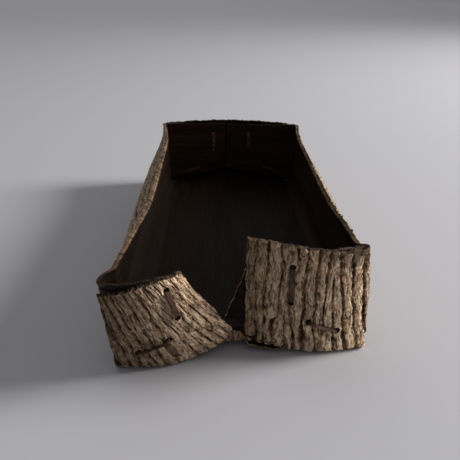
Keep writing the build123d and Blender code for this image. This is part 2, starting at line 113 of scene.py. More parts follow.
# %% The four end halves
# stain is real stain plus painted shade where a front flap turns away from the window, and below nought
# painted light where it faces the window; pared paints shade on the tabs
FRONT_LEFT = dict(
    name="front_left", slit=(-10.0, -208.0), side=-1, end=-1, skew=16.0, width=90.0, lean=0.165,
    fans=(0.58, 0.15, 0.1), flare=0.07, bulge=9.0, crest=0.58, start=-12.0, past=2.5,
    top=(81.0, 81.2, 80.0, 76.5, 71.5), tab_end=-3.0, tab_end_fan=0.59, pared=((0.1, 0.3), (0.4, 1.0)),
    stain=((0.0, 35.0, 62.0, 92.0), (-0.75, -0.2, 0.25, 0.75)), top_stain=((0.0, 90.0), (0.0, 0.3)),
    tab_top=(79.0, 81.0, 80.5), tab_bottom=(24.0, 16.0, 8.0),
    grain_lean=0.22, gape=((0.0, 35.0, 70.0, 90.0), (-1.3, -1.0, -0.3, 0.0)),
    stitches=dict(upper=((55.0, 47.0), (71.5, 46.5)), lower=((76.5, 53.5), (18.5, 28.0))))
FRONT_RIGHT = dict(
    name="front_right", slit=(-0.7, -210.4), side=1, end=-1, skew=0.0, width=97.7, lean=0.0,
    fans=(0.0, -0.06, -0.11), flare=0.06, bulge=7.0, crest=0.5, start=0.0, past=0.3,
    top=(99.0, 96.5, 92.8, 89.0, 83.5), tab_end=-23.6, tab_end_fan=0.34, pared=((0.3, 0.6), (0.1, 1.0)),
    stain=((8.0, 20.0, 45.0, 72.0, 97.0), (0.65, 0.0, -0.1, -0.6, -1.3)),
    top_stain=((0.0, 50.0, 62.0, 97.0), (0.2, 0.2, 0.8, 1.2)),
    splits=((0.5, 9.5), (11.0, 21.0), (26.0, 33.0)), gape=((0.0, 18.0, 35.0), (-1.4, -0.6, 0.0)),
    tab_top=(86.0, 87.0, 90.0), tab_bottom=(25.0, 15.0, 8.0),
    stitches=dict(upper=((34.0, 34.0), (77.5, 47.0)), lower=((48.5, 71.5), (30.0, 21.5))))
REAR = dict(
    slit=(-8.5, 212.0), end=1, skew=0.0, lean=0.0, flare=0.0, bulge=5.0, crest=0.0, start=0.02,
    past=-0.5, tab_end_fan=0.0, tab_bottom=(23.0, 15.0, 8.0), pared=((0.2, 0.5), (0.3, 1.0)),
    stain=((0.0, 20.0), (0.3, 0.1)), top_stain=((0.0, 90.0), (0.3, 0.3)))
REAR_LEFT = dict(
    REAR, name="rear_left", side=-1, width=83.0, fans=(0.0, 0.035, 0.035),
    top=(92.3, 92.0, 91.3, 90.3, 88.5), tab_end=-1.5, tab_top=(87.5, 87.5, 88.5),
    stitches=dict(upper=((16.0, 16.0), (76.5, 48.5)), lower=((36.0, 59.5), (25.0, 15.5))))
REAR_RIGHT = dict(
    REAR, name="rear_right", side=1, width=100.5, fans=(0.0, 0.045, 0.045),
    top=(92.3, 92.0, 91.0, 89.3, 86.5), tab_end=3.5, tab_top=(86.5, 86.0, 87.0),
    stitches=dict(upper=((34.5, 34.5), (76.5, 48.5)), lower=((57.0, 80.5), (26.0, 16.0))))
HALVES = (FRONT_LEFT, FRONT_RIGHT, REAR_LEFT, REAR_RIGHT)
for half in HALVES:
    cos, sin = math.cos(math.radians(half["skew"])), math.sin(math.radians(half["skew"]))
    half["across"] = np.array((half["side"] * cos, half["side"] * sin))
    half["outward"] = np.array((-half["side"] * sin, half["end"] * cos))
print(len(HALVES), "end halves, their widths", [half["width"] for half in HALVES])


# %% Stations of the two walls
# Wall stations: share along the box, share of the arch, then for each side how far foot, belly
# and rim stand out of the line between its corners, with the heights of belly and rim.
STATIONS = np.array([
    [-0.122, 1.0, 1.8, 6.8, 45.0, 8.8, 80.0, -0.6, -0.6, 50.0, -10.6, 89.5],
    [-0.013, 1.0, 0.4, 4.4, 50.0, -0.6, 86.0, -0.1, -0.1, 50.0, -10.1, 89.5],
    [0.107, 0.45, -0.5, 7.0, 58.0, -6.0, 88.0, -1.0, 2.5, 58.0, -11.0, 90.0],
    [0.25, 0.0, -1.3, 8.7, 60.0, -10.8, 88.0, -1.3, 4.2, 60.0, -12.8, 88.5],
    [0.498, 0.0, -1.0, 10.0, 60.0, -10.0, 88.0, -1.0, 6.5, 62.0, -9.5, 88.0],
    [0.759, 0.2, -0.2, 10.3, 58.0, -7.7, 88.5, -0.7, 6.8, 60.0, -5.2, 87.5],
    [0.889, 0.7, -0.1, 7.9, 54.0, -2.1, 89.0, -0.6, 5.4, 56.0, -0.6, 87.0],
    [0.967, 1.0, -0.2, 1.8, 46.0, 3.3, 89.0, -0.2, 2.8, 46.0, 4.3, 87.0]])
print(len(STATIONS), "wall stations")

# %% [markdown]
# ## Smooth values between stations
#
# A cubic through the stations, with each slope taken from its neighbours, is smooth enough for
# bark and never swings far. numpy works on whole arrays, so one call places many points.


# %% Curves through the stations
def cubic(ends, slopes, span, t):
    """Values at share t of a smooth curve with the given ends and slopes."""
    rest = 1 - t
    start = ends[0] * rest ** 2 * (1 + 2 * t) + slopes[0] * span * t * rest ** 2
    return start + ends[1] * t ** 2 * (1 + 2 * rest) - slopes[1] * span * rest * t ** 2


def along_box(column, y):
    """Values of one station column at many Y."""
    front, rear = FRONT_RIGHT["slit"][1], REAR_RIGHT["slit"][1]
    ys = front + (rear - front) * STATIONS[:, 0]
    values = STATIONS[:, column]
    y = np.asarray(y, float)
    i = np.clip(np.searchsorted(ys, y, "right") - 1, 0, len(ys) - 2)
    station = np.arange(len(ys))
    low, high = np.maximum(station - 1, 0), np.minimum(station + 1, len(ys) - 1)
    slope = (values[high] - values[low]) / (ys[high] - ys[low])
    span = ys[i + 1] - ys[i]
    return cubic((values[i], values[i + 1]), (slope[i], slope[i + 1]), span, (y - ys[i]) / span)


def side_line(side, y):
    """Distance from the middle plane to the line between a side's two corners."""
    front, rear = (FRONT_LEFT, REAR_LEFT) if side < 0 else (FRONT_RIGHT, REAR_RIGHT)
    ends = [abs(h["slit"][0] + h["across"][0] * h["width"]) for h in (front, rear)]
    share = (np.asarray(y) - front["slit"][1]) / (rear["slit"][1] - front["slit"][1])
    return ends[0] + (ends[1] - ends[0]) * share


def arch(x, share=1.0):
    """Height of the base's underside."""
    x = np.clip(np.abs(x), 0, ARCH_REACH)
    return ARCH_RISE * share * np.cos(np.pi * x / (2 * ARCH_REACH)) ** 2


OCTAVES, OCTAVE_FADE, FULL_SWING = 5, 1.6, 1.9


def wobble(t, pitch, seed):
    """Gentle unevenness between about -1 and 1, the same on every run."""
    rng = np.random.default_rng(seed)
    total = np.zeros(np.shape(t))
    for octave in range(OCTAVES):
        turns, phase = 2 ** octave * rng.uniform(0.8, 1.25), rng.uniform(0, 6.28)
        total += np.sin(2 * np.pi * np.asarray(t) / pitch * turns + phase) / (OCTAVE_FADE ** octave)
    return total / FULL_SWING


print("side line at the middle:", round(float(side_line(-1, 0)), 1), round(float(side_line(1, 0)), 1))

# %% [markdown]
# ## One wall section
#
# A wall leaves the base in a round foot, bellies out and curls in to the rim. A cubic spline
# through five knots gives that line. The slopes at the knots come from a small set of linear
# equations, which is what any spline tool solves out of sight.


# %% The line of a wall from rim to base
def spline(knots, start, end, shares):
    """Cubic spline through knots (..., n, 2), sampled at shares of its length."""
    gaps = np.linalg.norm(np.diff(knots, axis=-2), axis=-1)
    times = np.concatenate([np.zeros(gaps.shape[:-1] + (1,)), np.cumsum(gaps, -1)], -1)
    n = knots.shape[-2]
    matrix = np.zeros(knots.shape[:-2] + (n, n))
    known = np.zeros(knots.shape)
    matrix[..., 0, 0] = matrix[..., -1, -1] = 1
    known[..., 0, :], known[..., -1, :] = start, end
    for i in range(1, n - 1):
        a, b = gaps[..., i - 1], gaps[..., i]
        matrix[..., i, i - 1], matrix[..., i, i], matrix[..., i, i + 1] = b, 2 * (a + b), a
        before = (knots[..., i, :] - knots[..., i - 1, :]) * (b / a)[..., None]
        after = (knots[..., i + 1, :] - knots[..., i, :]) * (a / b)[..., None]
        known[..., i, :] = 3 * (before + after)
    slopes = np.linalg.solve(matrix, known)
    where = np.asarray(shares) * times[..., -1:]
    out = np.zeros(where.shape + (2,))
    for i in range(n - 1):
        inside = (where >= times[..., i:i + 1]) if i else np.ones(where.shape, bool)
        gap = gaps[..., i:i + 1]
        t = np.clip((where - times[..., i:i + 1]) / gap, 0, 1)[..., None]
        ends = knots[..., i:i + 1, :], knots[..., i + 1:i + 2, :]
        between = slopes[..., i:i + 1, :], slopes[..., i + 1:i + 2, :]
        out = np.where(inside[..., None], cubic(ends, between, gap[..., None], t), out)
    return out


def wall_line(side, y, shares):
    """Outer face of a wall at Y: distance from the middle plane and height."""
    first = 2 if side < 0 else 7
    foot, belly, belly_z, rim, rim_z = (along_box(first + k, y) for k in range(5))
    line = side_line(side, y)
    foot, belly, rim = foot + line, belly + line, rim + line
    shoulder = foot + (belly - foot) * SHOULDER_SHARE
    turn = FOOT_RADIUS * (1 - math.cos(math.pi / 4))
    flat = np.zeros_like(foot)
    knots = np.stack([np.stack([rim, rim_z], -1), np.stack([belly, belly_z], -1),
                      np.stack([shoulder, flat + FOOT_SHOULDER], -1),
                      np.stack([foot - turn, flat + turn], -1),
                      np.stack([foot - FOOT_RADIUS, flat], -1)], -2)
    start = knots[..., 1, :] - knots[..., 0, :]
    start /= np.linalg.norm(start, axis=-1, keepdims=True)
    return spline(knots, start, np.array((-1.0, 0.0)), shares)


print("a wall line:", np.round(wall_line(-1, np.array([0.0]), np.linspace(0, 1, 5))[0], 1).tolist())

# %% [markdown]
# ## A slab of bark from a rule
#
# Bark is a sheet with a rough side, a smooth side and a cut edge all round. Every piece is the
# same kind of closed slab: one grid of points on the outside, the same grid on the inside, and a
# few rings between them at the edge. Each point remembers where it lies on the flat sheet before
# folding ("sheet", in millimetres), so that the furrows run on from piece to piece round folds
# and corners, as they do on the real sheet. It also remembers its depth in the bark.
#
# A hole could be cut with a Boolean, but that is slow on so many points. Here the grid itself
# opens: the points round a hole's axis move outward, and the cells in the middle are left out.


# %% Grids and punched holes
HOLE_CORE_SHARE, HOLE_REACH_SHARE = 0.45, 2.0
HOLE_NEAR = 1.5


def grid_normals(points):
    """Unit normals of a grid of points."""
    a, b = np.gradient(points, axis=0), np.gradient(points, axis=1)
    normal = np.cross(a, b)
    return normal / np.maximum(np.linalg.norm(normal, axis=-1, keepdims=True), 1e-9)


def border(nu, nv):
    """Grid indices once round the edge."""
    low = [(i, 0) for i in range(nu - 1)] + [(nu - 1, j) for j in range(nv - 1)]
    return low + [(i, nv - 1) for i in range(nu - 1, 0, -1)] + [(0, j) for j in range(nv - 1, 0, -1)]


def open_holes(outer, inner, holes):
    """Moves grid points off each hole's axis and returns the grid cells that are punched out."""
    gone = np.zeros((outer.shape[0] - 1, outer.shape[1] - 1), bool)
    for number, (centre, axis, radius) in enumerate(holes):
        reach = radius * HOLE_REACH_SHARE
        for layer, points in enumerate((outer, inner)):
            away = points - centre
            away -= (away @ axis)[..., None] * axis
            far = np.linalg.norm(away, axis=-1)
            if far.min() > HOLE_NEAR:
                break
            if layer == 0:
                near = far < radius * HOLE_CORE_SHARE
                cells = near[:-1, :-1] & near[1:, :-1] & near[:-1, 1:] & near[1:, 1:]
                i, j = np.unravel_index(np.argmin(far), far.shape)
                cells[max(i - 1, 0):i + 1, max(j - 1, 0):j + 1] = True
                gone |= cells
                touched = np.zeros(far.shape, bool)
                for di in (0, 1):
                    for dj in (0, 1):
                        touched[di:far.shape[0] - 1 + di, dj:far.shape[1] - 1 + dj] |= cells
            side = np.cross(axis, (0.3, 0.4, 0.8))
            side /= np.linalg.norm(side)
            angle = np.arctan2(away @ np.cross(axis, side), away @ side)
            ragged = radius * (1 + 0.05 * np.sin(3 * angle + number) + 0.03 * np.sin(7 * angle))
            moved = np.where(far < reach, ragged + (reach - ragged) * far / reach, far)
            moved = np.where(touched, ragged, moved)
            points += away / np.maximum(far, 1e-6)[..., None] * (moved - far)[..., None]
    return gone


def bore_faces(gone, index, back):
    """Faces through the bark round every punched hole."""
    faces = []
    for i, j in zip(*np.nonzero(gone)):
        corners = ((i, j), (i + 1, j), (i + 1, j + 1), (i, j + 1))
        for k, (di, dj) in enumerate(((0, -1), (1, 0), (0, 1), (-1, 0))):
            if not gone[i + di, j + dj]:
                p, q = index[corners[k]], index[corners[(k + 1) % 4]]
                faces.append((q, p, p + back, q + back))
    return faces


def clear_loose(mesh):
    """Removes points that a punched hole left without a face."""
    work = bmesh.new()
    work.from_mesh(mesh)
    bmesh.ops.delete(work, geom=[v for v in work.verts if not v.link_faces], context="VERTS")
    work.to_mesh(mesh)
    work.free()


print("a front hole opens the grid", HOLE_REACH_SHARE, "radii round its axis")

# %% [markdown]
# ## What a slab remembers
#
# Besides "sheet" and "depth", a point carries a value for each thing that the maker or time did
# to the bark there, and some of these values also paint light and shade. "relief" says how much
# of the full roughness is left. "gape" opens the furrows and cracks where the bark was bent, and
# below nought it closes them. "split" is a tear through the outer bark. "pared" is bark
# shaved thinner, and the near-black colour it gives the tabs is painted shade. "fresh" is a
# clean cut, and above 1 it paints light on the edge. "stain" is a brown stain and painted
# shade, or below nought bleached bark and painted light. "mottle" is dark spots, and
# "paler" makes the inside paler as painted light, or darker below nought as
# painted shade. Named values like these could be painted by hand. Worked out by a rule, they stay
# right when a size changes.


# %% The slab builder
EDGE_DEPTHS = (0.12, 0.3, 0.5, 0.72, 0.9)
RELIEF_FADE = ((0.0, 0.3, 0.72, 1.0), (1.0, 0.55, 0.15, 0.0))
MARKS = ("gape", "pared", "fresh", "stain", "split", "mottle", "paler")


def slab(name, outer, inner, sheet, relief, seams=(), holes=(), **marks):
    """Closed slab mesh with the attributes that the relief and the finishes read.

    seams names sides of the grid ("u0", "u1", "v0", "v1") where the sheet runs on into another
    piece: there the edge shows bark, not a cut.
    """
    nu, nv = outer.shape[:2]
    facing = grid_normals(outer)
    flipped = np.median(np.einsum("ijk,ijk->ij", facing, outer - inner)) < 0
    if flipped:
        facing = -facing
    gone = open_holes(outer, inner, holes)
    ring = np.array(border(nu, nv))
    index = np.arange(nu * nv).reshape(nu, nv)
    ring_index = index[ring[:, 0], ring[:, 1]]
    count, edge, depths = nu * nv, len(ring), len(EDGE_DEPTHS)
    edge_out, edge_in = outer[ring[:, 0], ring[:, 1]], inner[ring[:, 0], ring[:, 1]]
    rings = [edge_out + (edge_in - edge_out) * d for d in EDGE_DEPTHS]
    co = np.concatenate([outer.reshape(-1, 3), *rings, inner.reshape(-1, 3)])
    outside, inside = np.zeros(count), np.ones(count)
    depth = np.concatenate([outside, *(np.full(edge, d) for d in EDGE_DEPTHS), inside])
    sides = {"u0": ring[:, 0] == 0, "u1": ring[:, 0] == nu - 1,
             "v0": ring[:, 1] == 0, "v1": ring[:, 1] == nv - 1}
    seam = np.zeros(edge, bool)
    for side in seams:
        seam |= sides[side]
    look = np.concatenate([outside, *(np.where(seam, round(d), d) for d in EDGE_DEPTHS), inside])
    keep = ~gone
    a, b = index[:-1, :-1][keep], index[1:, :-1][keep]
    c, d = index[1:, 1:][keep], index[:-1, 1:][keep]
    back = count + edge * depths
    loops = [ring_index] + [count + edge * k + np.arange(edge) for k in range(depths)] + [ring_index + back]
    faces = [np.stack([a, b, c, d], -1), np.stack([a, d, c, b], -1) + back]
    faces += [np.stack([p, q, np.roll(q, -1), np.roll(p, -1)], -1) for p, q in zip(loops, loops[1:])]
    if gone.any():
        faces.append(np.array(bore_faces(gone, index, back)))
    faces = np.concatenate(faces)
    mesh = bpy.data.meshes.new(name)
    mesh.from_pydata((co * MM).tolist(), [], (faces[:, ::-1] if flipped else faces).tolist())
    fade = np.interp(depth, *RELIEF_FADE)

    def carry(values):
        values = np.broadcast_to(values, outer.shape[:2] + np.shape(values)[2:])
        along_edge = values[ring[:, 0], ring[:, 1]].reshape(edge, -1)
        face = values.reshape(count, -1)
        return np.concatenate([face, *[along_edge] * depths, face])

    columns = {"sheet": carry(sheet), "facing": carry(facing), "depth": look[:, None],
               "relief": carry(relief) * fade[:, None]}
    for key in MARKS:
        columns[key] = carry(marks.get(key, 0.0))
    for key, values in columns.items():
        wide = values.shape[1] == 3
        attribute = mesh.attributes.new(key, "FLOAT_VECTOR" if wide else "FLOAT", "POINT")
        attribute.data.foreach_set("vector" if wide else "value", values.astype(np.float32).ravel())
    if gone.any():
        clear_loose(mesh)
    print(name, "has", len(mesh.polygons), "faces before its relief")
    return add_object(name, mesh)


print("each slab carries", ", ".join(MARKS))

# %% [markdown]
# ## Short spellings for nodes
#
# Shader trees and Geometry Nodes trees are built the same way: add a node, set its inputs, join
# it to the next. A Recipe keeps those steps short. Its values are Terms, which can be added and
# multiplied in ordinary sums, and each sum becomes a Math node. So a tree reads like a formula.


# %% A helper for node trees
class Term:
    """The output of a node, usable in sums."""

    def __init__(self, recipe, socket):
        self.recipe, self.socket = recipe, socket

    def __add__(self, other):
        return self.recipe.math("ADD", self, other)

    def __sub__(self, other):
        return self.recipe.math("SUBTRACT", self, other)

    def __rsub__(self, other):
        return self.recipe.math("SUBTRACT", other, self)

    def __mul__(self, other):
        return self.recipe.math("MULTIPLY", self, other)

    def __truediv__(self, other):
        return self.recipe.math("DIVIDE", self, other)

    __radd__, __rmul__ = __add__, __mul__


class Recipe:
    """Adds and joins the nodes of one tree."""

    def __init__(self, tree):
        self.tree = tree

    def add(self, kind, inputs=None, **settings):
        node = self.tree.nodes.new(kind)
        for key, value in settings.items():
            setattr(node, key, value)
        for key, value in (inputs or {}).items():
            if isinstance(value, Term):
                self.tree.links.new(value.socket, node.inputs[key])
            else:
                node.inputs[key].default_value = value
        return node

    def out(self, node, key=0):
        return Term(self, node.outputs[key])

    def make(self, kind, inputs=None, **settings):
        """The first output of a new node."""
        return self.out(self.add(kind, inputs, **settings))

    def math(self, operation, *values):
        return self.make("ShaderNodeMath", dict(enumerate(values)), operation=operation)

    def parts(self, vector):
        node = self.add("ShaderNodeSeparateXYZ", {0: vector})
        return [self.out(node, k) for k in range(3)]

    def vector(self, x, y, z=0.0):
        return self.make("ShaderNodeCombineXYZ", {0: x, 1: y, 2: z})

    def scaled(self, vector, size):
        return self.make("ShaderNodeVectorMath", {0: vector, "Scale": size}, operation="SCALE")

    def noise(self, vector, detail=2.0, roughness=0.5):
        inputs = {"Vector": vector, "Scale": 1.0, "Detail": detail, "Roughness": roughness}
        return self.make("ShaderNodeTexNoise", inputs)

    def cells(self, vector, feature="DISTANCE_TO_EDGE"):
        return self.make("ShaderNodeTexVoronoi", {"Vector": vector, "Scale": 1.0}, feature=feature,
                         voronoi_dimensions="2D")

    def ease(self, value, low, high, to_low=0.0, to_high=1.0):
        """Goes smoothly from to_low at low to to_high at high."""
        inputs = {0: value, 1: low, 2: high, 3: to_low, 4: to_high}
        return self.make("ShaderNodeMapRange", inputs, interpolation_type="SMOOTHSTEP")

    def from_furrow(self, phase):
        """0 where the phase is a whole number, 1 halfway between."""
        return 1.0 - self.math("ABSOLUTE", self.math("FRACT", phase) - 0.5) * 2.0

    def blend(self, share, first, second, mode="MIX"):
        node = self.add("ShaderNodeMix", {0: share, 6: first, 7: second}, data_type="RGBA", blend_type=mode)
        return self.out(node, 2)

    def tint(self, colour, shade, share=1.0):
        """A colour made lighter or darker by a value round 1, or filtered by a colour."""
        shade = self.vector(shade, shade, shade) if isinstance(shade, Term) else shade
        return self.blend(share, colour, shade, "MULTIPLY")

    def into(self, value, socket):
        self.tree.links.new(value.socket, socket)


print("the node helper is ready")

# %% [markdown]
# ## The furrows
#
# Walnut bark splits into long ridges, about a centimetre apart, that wander, fork and meet again.
# Stripes would be too regular and cell patterns too round. So each point gets a phase, its
# distance across the grain counted in ridges, and a furrow lies where the phase is a whole
# number. Slow noise makes the furrows wander. The angle between two more noises, which turns
# once round wherever both are zero, adds one furrow there: that is a fork.
#
# On the ridges come shallower splits, cross cracks, flaky steps and corky grain. Geometry Nodes
# do this on the slab's own points, so the outline is rough too. The tree stores the height, so
# that the finish knows ridge from furrow.


# %% Helpers for Geometry Nodes trees
def new_tree(name, numbers, materials):
    """A Geometry Nodes tree with named inputs."""
    tree = bpy.data.node_groups.new(name, "GeometryNodeTree")
    tree.is_modifier = True
    face = tree.interface
    face.new_socket("Geometry", in_out="INPUT", socket_type="NodeSocketGeometry")
    for label, value in numbers.items():
        socket = face.new_socket(label, in_out="INPUT", socket_type="NodeSocketFloat")
        socket.default_value = value
    for label in materials:
        face.new_socket(label, in_out="INPUT", socket_type="NodeSocketMaterial")
    face.new_socket("Geometry", in_out="OUTPUT", socket_type="NodeSocketGeometry")
    r = Recipe(tree)
    node = r.add("NodeGroupInput")
    labels = ["Geometry", *numbers, *materials]
    return tree, r, {label: r.out(node, k) for k, label in enumerate(labels)}


def stored(r, name, kind="FLOAT"):
    return r.make("GeometryNodeInputNamedAttribute", {"Name": name}, data_type=kind)


def store(r, geometry, name, value, kind="FLOAT"):
    return r.make("GeometryNodeStoreNamedAttribute", {"Geometry": geometry, "Name": name, "Value": value},
                  data_type=kind, domain="POINT")


print("the helpers of the Geometry Nodes trees are ready")


# %% The height of the bark
def bark_height(r, across, along, gape, given):
    """Height of the bark, about 0 in a furrow and 1 on a ridge."""
    seed = given["Seed"]

    def rough(width, length, shift, detail=2.0):
        """Noise round nought. Its lumps are about that wide and long, in millimetres."""
        return r.noise(r.vector(across / width, along / length, seed + shift), detail=detail) - 0.5

    # main furrows: they wander and fork, their edges are frayed, and some have a deep gash
    slow, quick = rough(40.0, 105.0, 0.0), rough(9.0, 24.0, 4.0)
    fork = r.math("ARCTAN2", rough(34.0, 95.0, 9.0, 0.0), rough(34.0, 95.0, 14.0, 0.0)) / (2 * math.pi)
    phase = across / given["Ridge pitch"] + slow * given["Wander"] + quick * 0.55 + fork
    ragged = rough(3.4, 6.0, 20.0) * 0.8 + rough(1.1, 1.8, 24.0) * 0.36
    patch, worn = rough(12.0, 30.0, 28.0), rough(9.0, 15.0, 31.0)
    near = r.from_furrow(phase) + ragged
    lip = given["Furrow width"] + patch * 0.6 + gape * 0.1
    slope = r.ease(near, lip - 0.13, lip + 0.3)
    gash = r.ease(near, lip - 0.2, lip + 0.02, 1.0, 0.0) * r.ease(worn, -0.04, 0.08)
    # on the ridges: shallower splits, cross cracks, flaky scales and steps, corky grain and pits
    split = r.ease(r.from_furrow(phase * 2.0 + quick * 1.3 + 0.37) + ragged * 0.8, 0.02, 0.3, 1.0, 0.0)
    split = split * r.ease(rough(9.0, 18.0, 33.0), -0.16, 0.04)
    broken = r.cells(r.vector(across / 8.0 + quick * 1.7, along / 14.0 + quick * 1.5))
    crack = r.ease(broken, 0.0, 0.05, 1.0, 0.0) * r.ease(rough(10.0, 14.0, 38.0) + gape * 0.15, 0.04, 0.12)
    curled = r.cells(r.vector(across / 3.2 + ragged * 0.9, along / 8.5 + ragged * 0.9))
    scale = r.ease(curled, 0.0, 0.14, 1.0, 0.0) * r.ease(rough(6.0, 9.0, 41.0), -0.1, 0.12)
    flakes = rough(5.0, 10.0, 43.0, 3.0) * 8.0
    steps = (r.math("FLOOR", flakes) + r.ease(r.math("FRACT", flakes), 0.0, 0.25)) / 8.0
    grain = rough(1.2, 3.8, 48.0, 3.0)
    pits = r.ease(r.cells(r.vector(across / 1.8, along / 4.2), "F1"), 0.08, 0.36, 1.0, 0.0)
    height = 0.36 + slope * 0.5 + patch * 0.2 + steps * given["Flaking"] + grain * given["Graininess"]
    height = height - split * 0.34 - gash * 0.42 - crack * 0.4 - scale * 0.24 - pits * slope * 0.13
    return r.math("MINIMUM", r.math("MAXIMUM", height, 0.0), 1.15)


print("the height adds furrows, splits, cracks, scales, steps, grain and pits")


# %% The relief tree itself
OUTSIDE_DEPTH, INSIDE_DEPTH = 0.031, 0.97
UNMOVED_HEIGHT = 0.84


def relief_tree():
    numbers = {"Ridge pitch": 9.2, "Furrow depth": 3.1, "Furrow width": 0.17, "Wander": 1.9,
               "Flaking": 0.42, "Graininess": 0.4, "Seed": 3.0}
    tree, r, given = new_tree("bark_relief", numbers, ("Rough bark", "Cut edge", "Inner bark"))
    across, along, _ = r.parts(stored(r, "sheet", "FLOAT_VECTOR"))
    depth = stored(r, "depth")
    height = bark_height(r, across, along, stored(r, "gape"), given) * (1.0 - stored(r, "split"))
    push = (height - UNMOVED_HEIGHT) * given["Furrow depth"] * stored(r, "relief") * MM
    step = r.scaled(stored(r, "facing", "FLOAT_VECTOR"), push)
    moved = r.out(r.add("GeometryNodeSetPosition", {"Geometry": given["Geometry"], "Offset": step}))
    x, y, z = r.parts(r.out(r.add("GeometryNodeInputPosition")))
    grounded = r.vector(x, y, r.math("MAXIMUM", z, 0.0))
    settled = r.out(r.add("GeometryNodeSetPosition", {"Geometry": moved, "Position": grounded}))
    marked = store(r, settled, "height", height)
    shape = r.out(r.add("GeometryNodeRealizeInstances", {"Geometry": marked}))
    outside = r.math("LESS_THAN", depth, OUTSIDE_DEPTH)
    inside = r.math("GREATER_THAN", depth, INSIDE_DEPTH)
    for part, chosen in (("Cut edge", True), ("Rough bark", outside), ("Inner bark", inside)):
        shape = r.out(r.add("GeometryNodeSetMaterial", {"Geometry": shape, "Selection": chosen,
                                                        "Material": given[part]}))
    r.add("NodeGroupOutput", {"Geometry": shape})
    return tree


relief = relief_tree()
print("the relief tree has", len(relief.nodes), "nodes")

# %% [markdown]
# ## Fibres, shared by every finish
#
# Bark, its cut edge and the thongs are all fibrous. One shader group makes fine streaks along
# the grain from the sheet coordinates, with wide soft patches beside them, and each finish uses
# it with its own sizes. A second group makes the dark spots that both the rims and the bark
# beside them have.


# %% The shader groups
def fibre_group():
    tree = bpy.data.node_groups.new("fibres", "ShaderNodeTree")
    tree.interface.new_socket("Sheet", in_out="INPUT", socket_type="NodeSocketVector")
    for name, value in (("Width", 0.8), ("Length", 9.0), ("Roughness", 0.6)):
        socket = tree.interface.new_socket(name, in_out="INPUT", socket_type="NodeSocketFloat")
        socket.default_value = value
    for name in ("Streak", "Patch"):
        tree.interface.new_socket(name, in_out="OUTPUT", socket_type="NodeSocketFloat")
    r = Recipe(tree)
    node = r.add("NodeGroupInput")
    sheet, width, length, roughness = (r.out(node, k) for k in range(4))
    across, along, other = r.parts(sheet)
    stretched = r.vector(across / width, along / length, other)
    streak = r.noise(stretched, detail=4.0, roughness=roughness)
    patch = r.noise(r.scaled(stretched, 0.09), detail=3.0, roughness=0.6)
    r.add("NodeGroupOutput", {"Streak": streak, "Patch": patch})
    return tree


def spot_group():
    """Share of dark, irregular spots on old rims and outer bark."""
    tree = bpy.data.node_groups.new("dark spots", "ShaderNodeTree")
    tree.interface.new_socket("Sheet", in_out="INPUT", socket_type="NodeSocketVector")
    tree.interface.new_socket("Amount", in_out="INPUT", socket_type="NodeSocketFloat")
    tree.interface.new_socket("Spots", in_out="OUTPUT", socket_type="NodeSocketFloat")
    r = Recipe(tree)
    node = r.add("NodeGroupInput")
    blotch = r.noise(r.scaled(r.out(node, 0), 0.16), detail=6.0, roughness=0.8)
    spots = r.ease(blotch, 0.49, 0.6, 0.0, 0.85) * r.out(node, 1)
    r.add("NodeGroupOutput", {"Spots": spots})
    return tree


fibres, spots = fibre_group(), spot_group()


def start_finish(name):
    """A new material with its recipe, its Principled BSDF and the sheet coordinates."""
    material = bpy.data.materials.new(name)
    material.use_nodes = True
    r = Recipe(material.node_tree)
    shader = material.node_tree.nodes["Principled BSDF"]
    sheet = r.out(r.add("ShaderNodeAttribute", attribute_name="sheet"), "Vector")
    return material, r, shader, sheet


def use_fibres(r, sheet, width, length):
    """Streak and patch values of the shared fibre group."""
    node = r.add("ShaderNodeGroup", node_tree=fibres)
    r.into(sheet, node.inputs["Sheet"])
    node.inputs["Width"].default_value = width
    node.inputs["Length"].default_value = length
    return r.out(node, "Streak"), r.out(node, "Patch")


def ramp(r, value, stops):
    """A colour ramp with several stops."""
    node = r.add("ShaderNodeValToRGB", {0: value})
    bar = node.color_ramp
    while len(bar.elements) < len(stops):
        bar.elements.new(0.5)
    for element, (place, colour) in zip(bar.elements, stops):
        element.position = place
        element.color = (*colour, 1.0)
    return r.out(node)


def stored_value(r, name):
    return r.out(r.add("ShaderNodeAttribute", attribute_name=name), "Fac")


def dark_spots(r, sheet):
    """The shared group of spots, as dark as "mottle" asks for."""
    node = r.add("ShaderNodeGroup", node_tree=spots)
    r.into(sheet, node.inputs["Sheet"])
    r.into(stored_value(r, "mottle"), node.inputs["Amount"])
    return r.out(node, "Spots")


def raise_grain(r, shader, height, strength, distance):
    """A bump from a height value."""
    bump = r.add("ShaderNodeBump", {"Height": height, "Strength": strength, "Distance": distance * MM})
    r.into(r.out(bump), shader.inputs["Normal"])


print("the fibre group has", len(fibres.nodes), "nodes")

# %% [markdown]
# ## Rough bark
#
# Colour follows height: nearly black in the furrows, brown on their flanks, grey tan on the
# ridges, and pale where a flake has just come off. Corky grain speckles all of it. Some areas are
# warmer and some carry a trace of green. A tab was pared before it was folded, so there the
# finish turns to the dark reddish layers underneath ("pared"); they are near black as
# painted shade, for the tabs stand behind the flaps. Years of handling left a brown stain on the
# right of the front slit, at the front left corner and a little at the rear ("stain"),
# and at the front it is also painted shade where the flaps turn away from the window. Below nought
# it means bleached, as the front left flap is beside the slit and the front right one toward its
# corner, and there it is painted light on the parts that face the window.


# %% Rough bark finish
FURROW_TO_RIDGE = [(0.02, (0.028, 0.0163, 0.00913)), (0.26, (0.105, 0.0642, 0.0373)),
                   (0.52, (0.265, 0.173, 0.103)), (0.84, (0.53, 0.381, 0.249)),
                   (1.0, (0.68, 0.521, 0.357))]
